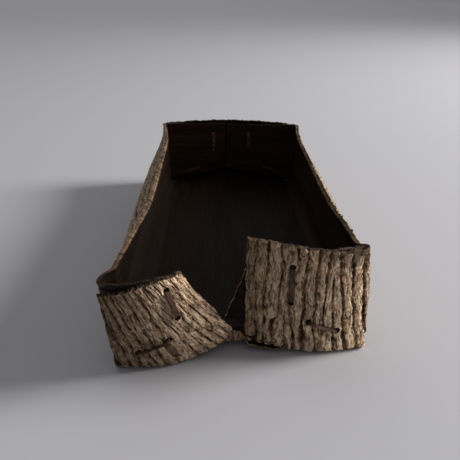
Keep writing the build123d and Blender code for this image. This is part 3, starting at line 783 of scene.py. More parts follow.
# Colours of pared bark, made near black as painted shade for the tabs behind the flaps
PARED_LAYERS = [(0.35, (0.008, 0.0052, 0.004)), (0.6, (0.022, 0.013, 0.0085)),
                (0.8, (0.06, 0.036, 0.022))]
WARM_BARK, GREEN_TRACE = (0.3, 0.165, 0.09, 1.0), (0.14, 0.135, 0.075, 1.0)
OLD_STAIN, DARK_SPOT = (0.42, 0.36, 0.3, 1.0), (0.026, 0.015, 0.01, 1.0)


def rough_bark():
    material, r, shader, sheet = start_finish("rough bark")
    streak, patch = use_fibres(r, sheet, 0.6, 3.0)
    hair, _ = use_fibres(r, sheet, 1.7, 8.0)
    crumb, _ = use_fibres(r, sheet, 2.6, 9.0)
    height, pared = stored_value(r, "height"), stored_value(r, "pared")
    speck, _ = use_fibres(r, sheet, 1.05, 3.4)
    uneven = height + (streak - 0.5) * 0.34 + (speck - 0.5) * 0.7 + (crumb - 0.5) * 0.7
    colour = ramp(r, uneven, FURROW_TO_RIDGE)
    colour = r.tint(colour, r.ease(streak, 0.3, 0.7, 0.8, 1.16))
    colour = r.tint(colour, r.ease(hair, 0.37, 0.45, 0.4, 1.0))
    warm = r.noise(r.scaled(sheet, 0.03), detail=4.0, roughness=0.65)
    colour = r.blend(r.ease(warm, 0.5, 0.7, 0.0, 0.4), colour, WARM_BARK)
    green = r.noise(r.scaled(sheet, 0.047), detail=5.0, roughness=0.7)
    colour = r.blend(r.ease(green, 0.56, 0.72, 0.0, 0.45), colour, GREEN_TRACE)
    # The pared colour is near black: painted shade on the tabs, which stand behind the flaps
    skinned = ramp(r, streak * 0.6 + patch * 0.4, PARED_LAYERS)
    stain = stored_value(r, "stain")
    # Below nought stain bleaches the bark as painted light; above nought it darkens it as stain and painted
    # shade
    bleached = r.ease(stain + (patch - 0.5) * 1.4, -1.2, 0.0, 1.35, 0.0)
    colour = r.tint(colour, bleached * r.ease(uneven, 0.3, 0.85, 0.15, 1.25) + 1.0)
    colour = r.blend(stain, colour, r.tint(colour, OLD_STAIN))
    colour = r.blend(pared, colour, skinned)
    colour = r.blend(dark_spots(r, sheet), colour, DARK_SPOT)
    r.into(colour, shader.inputs["Base Color"])
    r.into(r.ease(height, 0.2, 0.9, 0.98, 0.84), shader.inputs["Roughness"])
    shader.inputs["Specular IOR Level"].default_value = 0.22
    raise_grain(r, shader, streak * 0.5 + speck * 0.8 + r.ease(hair, 0.37, 0.47) * 0.8, 0.8, 1.2)
    return material


bark_finish = rough_bark()
print("made", bark_finish.name)

# %% [markdown]
# ## Inner bark and cut edge
#
# The inside is dark brown, close to black, with long faint streaks and a dull sheen where hands
# have polished it. A cut edge shows the layers: corky brown outside, pale tan in the middle and a
# thin dark line next to the inside. The walls' rims are cut clean but have dark spots, the
# flaps' edges are old and dirty, and "fresh" says which. Above 1 it also makes an edge
# paler as painted light: on the wall rims, the torn strip and the front tabs' free ends. The tabs'
# rims are darkened as painted shade ("pared").


# %% Inner bark finish
INNER_BROWNS = [(0.35, (0.00495, 0.00246, 0.00143)), (0.55, (0.011, 0.00544, 0.00299)),
                (0.8, (0.0286, 0.014, 0.00748))]


def inner_bark():
    material, r, shader, sheet = start_finish("inner bark")
    streak, patch = use_fibres(r, sheet, 1.5, 42.0)
    fine, _ = use_fibres(r, sheet, 0.35, 7.0)
    colour = ramp(r, streak * 0.6 + patch * 0.5, INNER_BROWNS)
    # paler: paler as painted light, darker below nought as painted shade
    colour = r.tint(colour, r.ease(fine, 0.3, 0.7, 0.75, 1.25) * (stored_value(r, "paler") + 1.0))
    r.into(colour, shader.inputs["Base Color"])
    r.into(r.ease(patch, 0.3, 0.7, 0.56, 0.76), shader.inputs["Roughness"])
    shader.inputs["Specular IOR Level"].default_value = 0.08
    raise_grain(r, shader, streak * 0.8 + fine * 0.35, 0.4, 0.8)
    return material


inner_finish = inner_bark()
print("made", inner_finish.name)


# %% Cut edge finish
EDGE_LAYERS = [(0.05, (0.081, 0.052, 0.0304)), (0.34, (0.135, 0.0848, 0.0475)),
               (0.44, (0.045, 0.024, 0.0132)), (0.55, (0.207, 0.128, 0.07)),
               (0.78, (0.153, 0.0904, 0.0488)), (0.9, (0.018, 0.0104, 0.00594))]
OLD_EDGE = [(0.4, (0.02, 0.0125, 0.009)), (0.55, (0.07, 0.043, 0.027)), (0.7, (0.14, 0.096, 0.062))]
RIM_SPOT = (0.02, 0.012, 0.008, 1.0)


def cut_edge():
    material, r, shader, sheet = start_finish("cut edge")
    streak, patch = use_fibres(r, sheet, 1.2, 3.0)
    depth, fresh = stored_value(r, "depth"), stored_value(r, "fresh")
    pared = stored_value(r, "pared")
    layer = depth + (streak - 0.5) * 0.3
    colour = ramp(r, layer, EDGE_LAYERS)
    old = ramp(r, streak * 0.5 + patch * 0.5, OLD_EDGE)
    colour = r.blend(r.ease(fresh + (patch - 0.5) * 1.2, 0.25, 0.75), old, colour)
    # fresh above 1 paints light: wall rims, the torn strip and the front tabs' free ends
    colour = r.tint(colour, r.ease(fresh, 1.0, 1.8, 1.0, 6.5))
    colour = r.blend(dark_spots(r, sheet), colour, RIM_SPOT)
    # Darker tab rims: painted shade in the gap behind the flaps
    colour = r.tint(colour, r.ease(pared, 0.0, 0.7, 1.0, 0.5))
    r.into(r.tint(colour, r.ease(patch, 0.35, 0.65, 0.5, 1.2)), shader.inputs["Base Color"])
    r.into(r.ease(streak, 0.3, 0.7, 0.72, 0.9), shader.inputs["Roughness"])
    shader.inputs["Specular IOR Level"].default_value = 0.12
    raise_grain(r, shader, streak, 0.6, 0.8)
    return material


edge_finish = cut_edge()
print("made", edge_finish.name)

# %% [markdown]
# ## From slab to finished piece
#
# The relief goes on as a modifier.


# %% Finishing a slab
SHARP_ANGLE = 62.0


def set_input(modifier, name, value):
    for item in modifier.node_group.interface.items_tree:
        if item.item_type == "SOCKET" and item.in_out == "INPUT" and item.name == name:
            modifier[item.identifier] = value


def bake(piece, tree, **inputs):
    """Runs a tree on a piece and keeps the result as its mesh."""
    modifier = piece.modifiers.new("shape", "NODES")
    modifier.node_group = tree
    for name, value in inputs.items():
        set_input(modifier, name.replace("_", " "), value)
    graph = bpy.context.evaluated_depsgraph_get()
    made = bpy.data.meshes.new_from_object(piece.evaluated_get(graph), depsgraph=graph)
    piece.modifiers.clear()
    if piece.type == "MESH":
        piece.data = made
        return piece
    return add_object(piece.name + "_shape", made)


def finish_bark(piece):
    """Relief, smooth shading and the piece's place in the frame."""
    bake(piece, relief, Rough_bark=bark_finish, Cut_edge=edge_finish, Inner_bark=inner_finish)
    piece.data.shade_smooth()
    piece.data.set_sharp_from_angle(angle=math.radians(SHARP_ANGLE))
    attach(piece, "root")
    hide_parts("bark_sheet")
    return piece


# %% [markdown]
# ## Walls and base
#
# A wall runs along the whole box. Across, it goes from the rim down its spline, round the foot
# and a little way onto the base, where the base piece takes over on a flat stretch, so no seam
# shows. The front ends are cut parallel to the folds of the flaps. The rims are spotted, and
# the inside of the right wall is made paler and that of the left one darker: painted light and shade.


# %% Wall surfaces
COARSE = 1.0
TROUGH_ROWS, WALL_COLUMNS, JOINT_COLUMNS = 330, 116, 10
FOOT_CROWDING = 1.12
JOINT = 68.0
CORNER_RELIEF = 0.6
# Above 1 the walls' value also paints light on their rims
WALL_FRESH, BASE_FRESH = 1.12, 0.8
# Distances from the rim in millimetres, and how spotted the bark is there
RIM_MOTTLE = ((14.0, 34.0), (1.0, 0.3))
# Painted light and shade on the inside: darker at the left wall, which faces the window, and paler at the
# right wall and the rear tabs, which it leaves in shade
INSIDE_PALER = {-1: -0.45, 1: 0.9, "rear": 1.5}
# The outer grid of each wall, which its tabs go on from
WALL_SURFACES = {}


def grid(*counts):
    return [int(n / COARSE) for n in counts]


def trough_start(x):
    """Y of the trough's cut front end at X."""
    slit, out = FRONT_LEFT["slit"], FRONT_LEFT["outward"]
    left = slit[1] - (TROUGH_BACK + (x - slit[0]) * out[0]) / out[1]
    right_end = FRONT_RIGHT["slit"][1] + TROUGH_BACK
    share = np.clip(x + 0.5, 0, 1)
    return left * (1 - share) + right_end * share


TROUGH_END = REAR_RIGHT["slit"][1] - TROUGH_BACK


def inward(points, thickness):
    """Lines (..., n, 2) moved inward, rim first."""
    step = np.gradient(points, axis=-2)
    step /= np.linalg.norm(step, axis=-1, keepdims=True)
    return points + np.stack([step[..., 1], -step[..., 0]], -1) * thickness


def wall_sheet(side, y):
    """Heights of a wall's line at Y, lowest first, and where they lie across the flat sheet."""
    line = wall_line(side, np.array([float(y)]), np.linspace(0, 1, 160)[None])[0]
    lengths = np.concatenate([[0], np.cumsum(np.linalg.norm(np.diff(line, axis=0), axis=1))])
    return line[::-1, 1], (line[-1, 0] + lengths[-1] - lengths)[::-1]


def wall_piece(side, name):
    ny, ns, n_joint = grid(TROUGH_ROWS, WALL_COLUMNS, JOINT_COLUMNS)
    share_y = np.linspace(0, 1, ny)
    shares = 1 - (1 - np.linspace(0, 1, ns)) ** FOOT_CROWDING
    guess = np.full((ny, ns), 90.0) * side
    for _ in range(3):
        start = trough_start(guess)
        y = start + (TROUGH_END - start) * share_y[:, None]
        line = np.stack([wall_line(side, y[:, k], np.full((ny, 1), shares[k]))[:, 0]
                         for k in range(ns)], 1)
        guess = line[..., 0] * side
    ragged = 0.45 * wobble(y[:, :1], 31.0, 5 + side) + 0.3 * wobble(y[:, :1], 5.0, 9 + side)
    line[..., 1] += ragged * (1 - np.clip(shares * 6, 0, 1))
    inner = inward(line, BARK)
    inner[:, -1] = line[:, -1] + (0, BARK)
    steps = np.linalg.norm(np.diff(line, axis=1), axis=-1)
    lengths = np.concatenate([np.zeros((ny, 1)), np.cumsum(steps, 1)], 1)
    foot = line[:, -1:, 0]
    extra = np.linspace(0, 1, n_joint + 1)[1:]
    flat = foot + (JOINT - foot) * extra
    lift = arch(flat, along_box(1, y[:, -1:]))
    y = np.concatenate([y, np.repeat(y[:, -1:], len(extra), 1)], 1)
    outer_2 = np.concatenate([line, np.stack([flat, lift], -1)], 1)
    inner_2 = np.concatenate([inner, np.stack([flat, lift + BARK], -1)], 1)
    outer = np.stack([outer_2[..., 0] * side, y, outer_2[..., 1]], -1)
    inner = np.stack([inner_2[..., 0] * side, y, inner_2[..., 1]], -1)
    from_rim = np.concatenate([lengths, lengths[:, -1:] + (foot - flat)], 1)
    sheet = np.stack([side * (foot + lengths[:, -1:] - from_rim), y, np.zeros_like(y)], -1)
    WALL_SURFACES[side] = outer[:, :ns].copy()
    to_end = np.minimum(y - y[:1], y[-1:] - y)
    relief = np.interp(to_end, (0.0, 12.0), (CORNER_RELIEF, 1.0))
    mottle = np.interp(from_rim, *RIM_MOTTLE)
    # Painted light and shade on the inside, fading toward the ends and toward the base
    paler = INSIDE_PALER[side] * np.interp(to_end, (0.0, 25.0), (0.2, 1.0))
    paler = paler * np.interp(from_rim[:, -1:] - from_rim, (4.0, 30.0), (0.0, 1.0))
    return slab(name, outer, inner, sheet, relief, seams=("u0", "u1", "v1"), fresh=WALL_FRESH,
                mottle=mottle, paler=paler)


left_wall = finish_bark(wall_piece(-1, "left_wall_bark"))
right_wall = finish_bark(wall_piece(1, "right_wall_bark"))


# %% Base surface
BASE_COLUMNS = 97


def base_piece(name):
    ny, nx = grid(TROUGH_ROWS, BASE_COLUMNS)
    x = np.repeat(np.linspace(-JOINT, JOINT, nx)[None], ny, 0)
    start = trough_start(x)
    y = start + (TROUGH_END - start) * np.linspace(0, 1, ny)[:, None]
    lift = arch(x, along_box(1, y))
    outer, inner = np.stack([x, y, lift], -1), np.stack([x, y, lift + BARK], -1)
    sheet = np.stack([x, y, np.zeros_like(y)], -1)
    return slab(name, outer, inner, sheet, 1.0, seams=("v0", "v1"), fresh=BASE_FRESH)


base = finish_bark(base_piece("base_bark"))

# %% [markdown]
# ## Flaps
#
# A flap's section has three stretches: a leg under the trough, the fold, and the upright face.
# Its face bulges, leans and fans, all as functions of the distance from the slit. The cut edges
# aren't straight: the knife and the years left them uneven, and the front left flap has lost a
# splinter beside the slit. At the fold the front right flap has small splits, and the grain of
# the front left flap leans.


# %% A flap's own coordinates
INSET, FOLD_RADIUS, LEG = 0.2, 5.5, 18.0


def at_share(values, share):
    return np.interp(share, np.linspace(0, 1, len(values)), values)


def fan(half, across):
    share = across / half["width"]
    return half["fans"][0] * (1 - share) + half["fans"][1] * share


def bulge(half, across):
    share = across / half["width"]
    reach = np.where(share < half["crest"], half["crest"] or 1.0, 1 - half["crest"])
    return half["bulge"] * (1 - ((share - half["crest"]) / reach) ** 2)


def place(half, across, out, up, shift):
    """World points of points given across, out and up."""
    along, reach = across + up * shift, out + up * half["lean"]
    x = half["slit"][0] + along * half["across"][0] + reach * half["outward"][0]
    y = half["slit"][1] + along * half["across"][1] + reach * half["outward"][1]
    return np.stack(np.broadcast_arrays(x, y, up), -1)


def flap_across(half, along, up):
    """Flap coordinate of a point at a distance along from the slit line and a height."""
    across = along
    for _ in range(8):
        across = along - up * fan(half, across)
    return across


corner = place(FRONT_RIGHT, FRONT_RIGHT["width"], 0.0, 0.0, 0.0)
print("the front right corner stands at", np.round(corner, 1).tolist(), "mm")

# %% [markdown]
# ## Stitches and holes
#
# Each half has two stitches, given by the two holes that they go through. The thong lies along
# the line between its holes, and the holes are punched square to the face there. Flap, tab and
# thong all ask the same function, so that they fit.


# %% Stitches and holes
HOLE_RADIUS, REAR_HOLE_RADIUS = 2.6, 1.35
THONG_WIDTH, THONG_THICKNESS = 3.8, 1.2


def stitch_frame(half, ends):
    """Where a stitch lies: middle, direction along, direction out, length, rise of the face."""
    (across_a, across_b), (up_a, up_b) = ends

    def on_face(along, up):
        across = flap_across(half, np.array(along), up)
        return place(half, across, bulge(half, across), np.array(up), fan(half, across))

    start, end = on_face(across_a, up_a), on_face(across_b, up_b)
    across, up = (across_a + across_b) / 2, (up_a + up_b) / 2
    middle = on_face(across, up)
    sideways = on_face(across + THONG_WIDTH, up) - middle
    out = np.cross(sideways, on_face(across, up + THONG_WIDTH) - middle)
    out /= np.linalg.norm(out)
    if out[:2] @ half["outward"] < 0:
        out = -out
    span = end - start
    along = span - out * (span @ out)
    along /= np.linalg.norm(along)
    return (start + end) / 2, along, out, np.linalg.norm(span), (middle - (start + end) / 2) @ out


def punch(half):
    return HOLE_RADIUS if half["end"] < 0 else REAR_HOLE_RADIUS


def hole_list(half):
    """Centre, axis and radius of each punched hole of one end half."""
    holes = []
    for ends in half["stitches"].values():
        origin, along, out, length, _ = stitch_frame(half, ends)
        holes += [(origin + along * length * share, out, punch(half)) for share in (-0.5, 0.5)]
    return holes


print("holes of the front left half:", len(hole_list(FRONT_LEFT)))


# %% Flap pieces
FLAP_ROWS, FLAP_COLUMNS = (20, 16, 138), 184
# Heights on the front left flap, and how far its worn slit edge is from the slit at each
WORN_EDGE = ((0.0, 6.0, 8.0, 10.0, 12.0, 14.0, 16.0, 18.0, 20.0, 22.0,
              24.0, 30.5, 37.0, 46.0, 55.0, 62.0, 72.0, 83.5),
             (6.5, 6.3, 5.8, 4.2, 0.0, -4.0, -8.5, -10.8, -12.2, -11.4,
              -10.6, -9.6, -10.4, -8.8, -7.2, -5.2, -6.2, -7.0))
# Distances along the flap from the end of its leg: the fold, and where the grain starts to lean
FOLD_GAPE = ((8.0, 13.0, 21.0, 27.0), (0.0, 1.0, 1.0, 0.0))
FACE_GAPE = ((18.0, 34.0), (0.0, 1.0))
FLAP_RELIEF = ((0.0, 10.0, 20.0, 27.0), (0.3, 0.4, 0.65, 1.0))
LEAN_FROM, SPLIT_AT = 22.0, 22.4


def flap_piece(half):
    name, seed = half["name"] + "_flap_bark", len(half["name"]) + int(half["width"])
    *rows, columns = grid(*FLAP_ROWS, FLAP_COLUMNS)
    piece_rows = np.concatenate([np.full(n, k) for k, n in enumerate(rows)] + [[2]])
    share = np.concatenate([np.arange(n) / n for n in rows] + [[1.0]])
    u = np.linspace(0, 1, columns)[:, None]
    top_mean = np.mean(half["top"])
    under, bend_top = ARCH_RISE, ARCH_RISE + FOLD_RADIUS
    up_guess = np.where(piece_rows == 2, bend_top + share * (top_mean - bend_top),
                        under + (piece_rows == 1) * FOLD_RADIUS * (1 - np.cos(share * np.pi / 2)))[None]
    start = half["start"] + 0.7 * wobble(up_guess, 23.0, seed) * (half["end"] < 0)
    end = half["width"] + half["past"] + 0.6 * wobble(up_guess, 19.0, seed + 1) - 0.4
    if half is FRONT_LEFT:
        start = np.interp(up_guess, *WORN_EDGE) + 0.5 * wobble(up_guess, 9.0, 77)
    across = start + (end - start) * u
    top = at_share(half["top"], u) + 0.6 * wobble(across, 27.0, seed + 2)
    top = top + 0.35 * wobble(across, 5.0, seed + 3) - 0.5
    shift, face = fan(half, across), bulge(half, across)
    foot = arch(place(half, across, 0.0, 0.0 * across, shift)[..., 0]) + INSET
    leg = BARK - 2 * INSET
    angle = share * np.pi / 2

    def layer(depth, fold_radius):
        straight = np.stack([-LEG + (face - FOLD_RADIUS + LEG) * share, foot + depth + 0 * share], -1)
        bent = np.stack([face - FOLD_RADIUS + fold_radius * np.sin(angle),
                         foot + FOLD_RADIUS - (FOLD_RADIUS - depth) * np.cos(angle)], -1)
        upright = np.stack([face - (FOLD_RADIUS - fold_radius) + 0 * share,
                            foot + FOLD_RADIUS + (top - foot - FOLD_RADIUS) * share], -1)
        kind = piece_rows[None, :, None]
        return np.where(kind == 0, straight, np.where(kind == 1, bent, upright))

    out_line, in_line = layer(0.0, FOLD_RADIUS), layer(leg, FOLD_RADIUS - BARK)
    outer = place(half, across, out_line[..., 0], out_line[..., 1], shift)
    inner = place(half, across, in_line[..., 0], in_line[..., 1], shift)
    steps = np.linalg.norm(np.diff(outer, axis=1), axis=-1)
    path = np.concatenate([np.zeros((columns, 1)), np.cumsum(steps, 1)], 1)
    leg_y = half["slit"][1] - half["end"] * LEG
    lean = half.get("grain_lean", 0.0)
    sheet_x = half["slit"][0] + half["side"] * across + lean * np.maximum(path - LEAN_FROM, 0.0)
    sheet = np.stack([sheet_x, leg_y + half["end"] * path, np.zeros_like(path)], -1)
    on_face = np.interp(across, *half.get("gape", ((0, 1), (0, 0))))
    bend = np.interp(path, *FOLD_GAPE) + np.interp(path, *FACE_GAPE) * on_face
    strength = np.interp(path, *FLAP_RELIEF)
    slit_side = np.clip(1 - u * columns / 40, 0, 1) * (path > 27)
    near_top = np.clip((outer[..., 2] - top + 11 + 3 * wobble(across, 13.0, seed + 5)) / 8, 0, 1)
    # stain along the flap: real stain with painted light and painted shade
    stain = np.interp(across, *half["stain"]) + near_top * np.interp(across, *half["top_stain"])
    stain = stain + 0.25 * wobble(across + path, 37.0, seed)
    split = 0.0 * path
    for low, high in half.get("splits", ()):
        middle, wide = (low + high) / 2, (high - low) / 2
        along_split = np.clip(1.6 - 1.6 * (np.abs(across - middle) / wide) ** 2, 0, 1)
        from_split = np.abs(path - SPLIT_AT - 0.5 * wobble(across, 6.0, 8))
        split = np.maximum(split, along_split * np.clip(1.5 - from_split / 1.2, 0, 1))
        stain = stain - 0.7 * along_split * ((path > 14) & (path < 20.8))
    fresh = (0.35 + 0.65 * slit_side) * (half["end"] < 0)
    return slab(name, outer, inner, sheet, strength, seams=("v0",), holes=hole_list(half), gape=bend,
                fresh=fresh, stain=np.clip(stain, -1.3, 1), split=split)


flaps = [finish_bark(flap_piece(half)) for half in HALVES]

# %% [markdown]
# ## The torn strip between the front flaps
#
# Where the front left flap lost its splinter, a strip of the base shows between the two flaps.
# Its broken layers curl up where the fold was and sag a little, and a thinner torn lip goes on
# under the front right flap. The lists give, across the box, how far the strip reaches, how far
# its end turns up in degrees, and how low it sags.


# %% The torn strip
STRIP_X = (-22.0, -17.0, -4.0, 0.0, 3.0, 14.0, 25.0, 32.0)
STRIP_CURL = (60.0, 80.0, 74.0, 35.0, -14.0, -16.0, -15.0, -10.0)
STRIP_REACH = (22.0, 25.0, 24.3, 21.5, 20.5, 22.0, 22.5, 19.0)
STRIP_SAG = (1.0, 3.0, 3.2, 1.6, 0.0, 0.0, 0.0, 0.0)
STRIP_FLAT, STRIP_TURN, STRIP_BARK = 10.0, 6.5, 2.0
STRIP_BACK, STRIP_GRID = 18.5, (108, 50)


def middle_piece(name):
    across, along = grid(*STRIP_GRID)
    x = np.linspace(STRIP_X[0], STRIP_X[-1], across)[:, None]
    reach = np.interp(x, STRIP_X, STRIP_REACH) + 0.8 * wobble(x, 9.0, 3) + 0.5 * wobble(x, 3.0, 4)
    path = np.linspace(0, 1, along) * reach
    step = np.diff(path, axis=1, prepend=0.0)
    turned = np.clip((path - STRIP_FLAT) / STRIP_TURN, 0, 1)
    angle = np.radians(np.interp(x, STRIP_X, STRIP_CURL)) * turned
    start = FRONT_RIGHT["slit"][1] + STRIP_BACK
    y = start - np.cumsum(step * np.cos(angle), 1)
    sag = np.interp(x, STRIP_X, STRIP_SAG) * np.clip(path / STRIP_FLAT, 0, 1)
    z = arch(x) + 2 * INSET - sag + np.cumsum(step * np.sin(angle), 1)
    outer = np.stack([x + 0 * y, y, z], -1)
    inner = outer + np.stack([0 * y, np.sin(angle), np.cos(angle)], -1) * STRIP_BARK
    sheet = np.stack([x + 0 * path, start - path, 0 * path], -1)
    # fresh above 1 paints light on the strip's edges, and stain makes the strip darker toward the right
    return slab(name, outer, inner, sheet, 0.5, seams=("v0",), gape=-0.5, fresh=1.3,
                stain=np.interp(x, (-10.0, 0.0), (0.3, 0.8)))


middle = finish_bark(middle_piece("front_middle_bark"))

# %% [markdown]
# ## Tabs
#
# A tab is the wall going on past its corner: a turn, then a straight run behind the flap. It
# starts on the wall's own end line and loses that shape by the end of the turn, so the sheet
# shows no step. It is pared thinner, so its furrows are shallow.


# %% Tab surfaces
TAB_BARK, LAYER_GAP, CORNER_RADIUS = 3.0, 0.4, 5.5
TAB_GRID, TAB_ROWS = (12, 20, 130), 96
# Distances along the tab, and how far the turn opens the furrows there
TURN_GAPE = ((4.0, 10.0, 18.0, 24.0), (0.0, 0.6, 0.6, 0.0))
TAB_RELIEF = 0.3


def wall_end(half):
    """Outer line of the wall's end, foot first, where the tab of one end half goes on."""
    outer = WALL_SURFACES[half["side"]]
    row = outer[0] if half["end"] < 0 else outer[-1]
    row = row[::-1]
    return row[row[:, 2] > 0.5]


def tab_piece(half):
    name = half["name"] + "_tab_bark"
    wall_skew = -half["skew"]
    skew = math.radians(wall_skew)
    back = BARK + LAYER_GAP + CORNER_RADIUS
    centre_across = half["width"] - INSET - (CORNER_RADIUS - back * math.sin(skew)) / math.cos(skew)
    centre_out = float(bulge(half, np.array(centre_across))) - back
    corner_fan = float(fan(half, centre_across))
    n_root, n_turn, n_run, rows = grid(*TAB_GRID, TAB_ROWS)
    # the stretch from the wall's end to the corner, and the turn
    t = np.concatenate([np.zeros(n_root), np.linspace(0, 1, n_turn)])
    angle = np.radians(wall_skew + (90.0 - wall_skew) * t)
    shift = half["fans"][2] + (corner_fan - half["fans"][2]) * t + half["flare"] * 4 * t * (1 - t)
    across = centre_across + CORNER_RADIUS * np.cos(angle)
    out = centre_out + CORNER_RADIUS * np.sin(angle)
    away = np.concatenate([np.linspace(1, 0, n_root, endpoint=False), np.zeros(n_turn)])
    away *= (out[0] + TROUGH_BACK) / math.cos(skew)
    across, out = across + away * math.sin(skew), out - away * math.cos(skew)
    # the run, from the turn to the free end
    s = np.linspace(1, 0, n_run + 1)[1:]
    across = np.concatenate([across, half["tab_end"] + (centre_across - half["tab_end"]) * s])
    shift = np.concatenate([shift, half["tab_end_fan"] + (corner_fan - half["tab_end_fan"]) * s])
    angle = np.concatenate([angle, np.full(n_run, np.pi / 2)])[:, None]
    out = np.concatenate([out, np.zeros(n_run)])[:, None]
    s_all = np.concatenate([np.ones(n_root + n_turn), s])
    # weight of the wall's own shape: all at the wall's end, none after the turn
    turned = np.clip(np.arange(len(across)) / (n_root + n_turn), 0, 1)[:, None]
    wall_share = 1 - turned ** 2 * (3 - 2 * turned)
    bark = TAB_BARK + (BARK - TAB_BARK) * wall_share
    edge = wall_end(half)
    low, high = at_share(half["tab_bottom"], s_all), at_share(half["tab_top"], s_all)
    seed = len(name) + int(half["width"]) * 3
    loose = 1 - wall_share[:, 0]
    high = high * loose + edge[-1, 2] * (1 - loose) + 0.5 * wobble(across, 22.0, seed) * loose
    low = low + 0.8 * wobble(across, 15.0, seed + 1)
    up = low[:, None] + (high - low)[:, None] * np.linspace(0, 1, rows)[None]
    ragged_end = 0.6 * wobble(up, 17.0, seed + 2) * (1 - s_all[:, None]) ** 8
    across, shift = across[:, None] + ragged_end, shift[:, None]
    run_out = bulge(half, flap_across(half, across + up * shift, up)) - BARK - LAYER_GAP
    steps = (np.arange(len(across)) - (n_root + n_turn - 1))[:, None]
    join = np.clip(steps / 6.0, 0, 1)
    run_out = run_out * join + np.minimum(run_out, centre_out + CORNER_RADIUS) * (1 - join)
    out = np.where(steps > 0, run_out, out)
    outer = place(half, across, out, up, shift)
    inner = place(half, across - np.cos(angle) * bark, out - np.sin(angle) * bark, up, shift)
    meet = np.stack([np.interp(up, edge[:, 2], edge[:, k]) for k in (0, 1)], -1) - outer[:1, :, :2]
    for layer in (outer, inner):
        layer[..., :2] += meet * wall_share[..., None]
    middle = outer[:, rows // 2]
    path = np.concatenate([[0], np.cumsum(np.linalg.norm(np.diff(middle, axis=0), axis=1))])[:, None]
    heights, from_middle = wall_sheet(half["side"], edge[-1, 1])
    sheet_x = half["side"] * np.interp(up, heights, from_middle)
    sheet = np.stack(np.broadcast_arrays(sheet_x, outer[:1, :, 1] + half["end"] * path, 0.0), -1)
    relief_share = np.interp(path, (0.0, 26.0), (CORNER_RELIEF, TAB_RELIEF))
    bend = np.interp(path, *TURN_GAPE)
    free = path / path[-1]
    # pared grows toward the free end: thinner bark, and painted shade behind the flap
    pared = np.interp(free, half["pared"][0], half["pared"][1])
    # 1.8 at the front tabs' free ends paints light on an edge that faces away from the window
    fresh = 1.8 * np.clip(free * 14 - 13, 0, 1) * (half["end"] < 0) + 0.6 * wall_share
    # The rear tabs' insides are made paler as painted light
    return slab(name, outer, inner, sheet, relief_share, seams=("u0",), holes=hole_list(half), gape=bend,
                pared=pared, fresh=fresh, paler=INSIDE_PALER["rear"] * (half["end"] > 0) * (1 - wall_share))


tabs = [finish_bark(tab_piece(half)) for half in HALVES]

# %% [markdown]
# ## Thongs
#
# A thong is a strip of inner bark tied wet through two holes. A path goes round both layers and
# a Geometry Nodes tree draws the strip along it: a flat section, tilted a little by noise, with
# fibres raised on it.


# %% The thong tree
def thong_tree():
    numbers = {"Width": 4.4 * MM, "Thickness": 1.25 * MM, "Point spacing": 0.45 * MM, "Twist": 0.8,
               "Fibre height": 0.8 * MM, "Seed": 1.0}
    tree, r, given = new_tree("thong_strip", numbers, ("Finish",))
    path = r.out(r.add("GeometryNodeResampleCurve", {"Curve": given["Geometry"],
                                                     "Length": given["Point spacing"]}, mode="LENGTH"))
    length = r.out(r.add("GeometryNodeSplineParameter"), "Length") * 1000.0
    sway = r.noise(r.vector(length / 9.0, given["Seed"]))
    path = r.out(r.add("GeometryNodeSetCurveTilt", {0: path, 2: (sway - 0.5) * given["Twist"]}))
    path = store(r, path, "run", length)
    circle = r.out(r.add("GeometryNodeCurvePrimitiveCircle", {"Resolution": 22, "Radius": 1.0}))
    x, y, _ = r.parts(r.out(r.add("GeometryNodeInputPosition")))

    def squared(value, power, size):
        return r.math("SIGN", value) * r.math("POWER", r.math("ABSOLUTE", value), power) * size * 0.5

    flat = r.vector(squared(x, 0.45, given["Width"]), squared(y, 0.7, given["Thickness"]))
    section = r.out(r.add("GeometryNodeSetPosition", {"Geometry": circle, "Position": flat}))
    section = store(r, section, "round", r.math("ARCTAN2", y, x))
    strip = r.out(r.add("GeometryNodeCurveToMesh", {"Curve": path, "Profile Curve": section}))
    run, turn = stored(r, "run"), stored(r, "round")
    around = r.vector(r.math("COSINE", turn) * 4.5, r.math("SINE", turn) * 4.5, run / 7.0 + given["Seed"])
    strand = r.noise(around, detail=3.0)
    push = (strand - 0.5) * given["Fibre height"]
    lift = r.scaled(r.out(r.add("GeometryNodeInputNormal")), push)
    strip = r.out(r.add("GeometryNodeSetPosition", {"Geometry": strip, "Offset": lift}))
    strip = store(r, strip, "sheet", r.vector(turn * 2.0, run, given["Seed"]), "FLOAT_VECTOR")
    strip = store(r, strip, "height", strand)
    strip = r.out(r.add("GeometryNodeRealizeInstances", {"Geometry": strip}))
    strip = r.out(r.add("GeometryNodeSetMaterial", {"Geometry": strip, "Material": given["Finish"]}))
    r.add("NodeGroupOutput", {"Geometry": strip})
    return tree


def thong_finish(name, shade):
    material, r, shader, sheet = start_finish(name)
    streak, patch = use_fibres(r, sheet, 0.45, 6.0)
    colour = ramp(r, streak * 0.65 + stored_value(r, "height") * 0.45,
                  [(0.36, (0.012, 0.0065, 0.0045)), (0.5, (0.048, 0.023, 0.013)),
                   (0.62, (0.115, 0.056, 0.031)), (0.76, (0.24, 0.135, 0.078))])
    r.into(r.tint(colour, (shade, shade, shade, 1.0)), shader.inputs["Base Color"])
    r.into(r.ease(patch, 0.3, 0.7, 0.55, 0.8), shader.inputs["Roughness"])
    shader.inputs["Specular IOR Level"].default_value = 0.25
    raise_grain(r, shader, streak, 0.6, 0.5)
    return material


strip_tree = thong_tree()
# The rear thongs, inside the box, use a darker copy of the finish: painted shade
strip_finishes = {-1: thong_finish("bark thong", 1.0), 1: thong_finish("dark bark thong", 0.8)}
print("the thong tree has", len(strip_tree.nodes), "nodes")


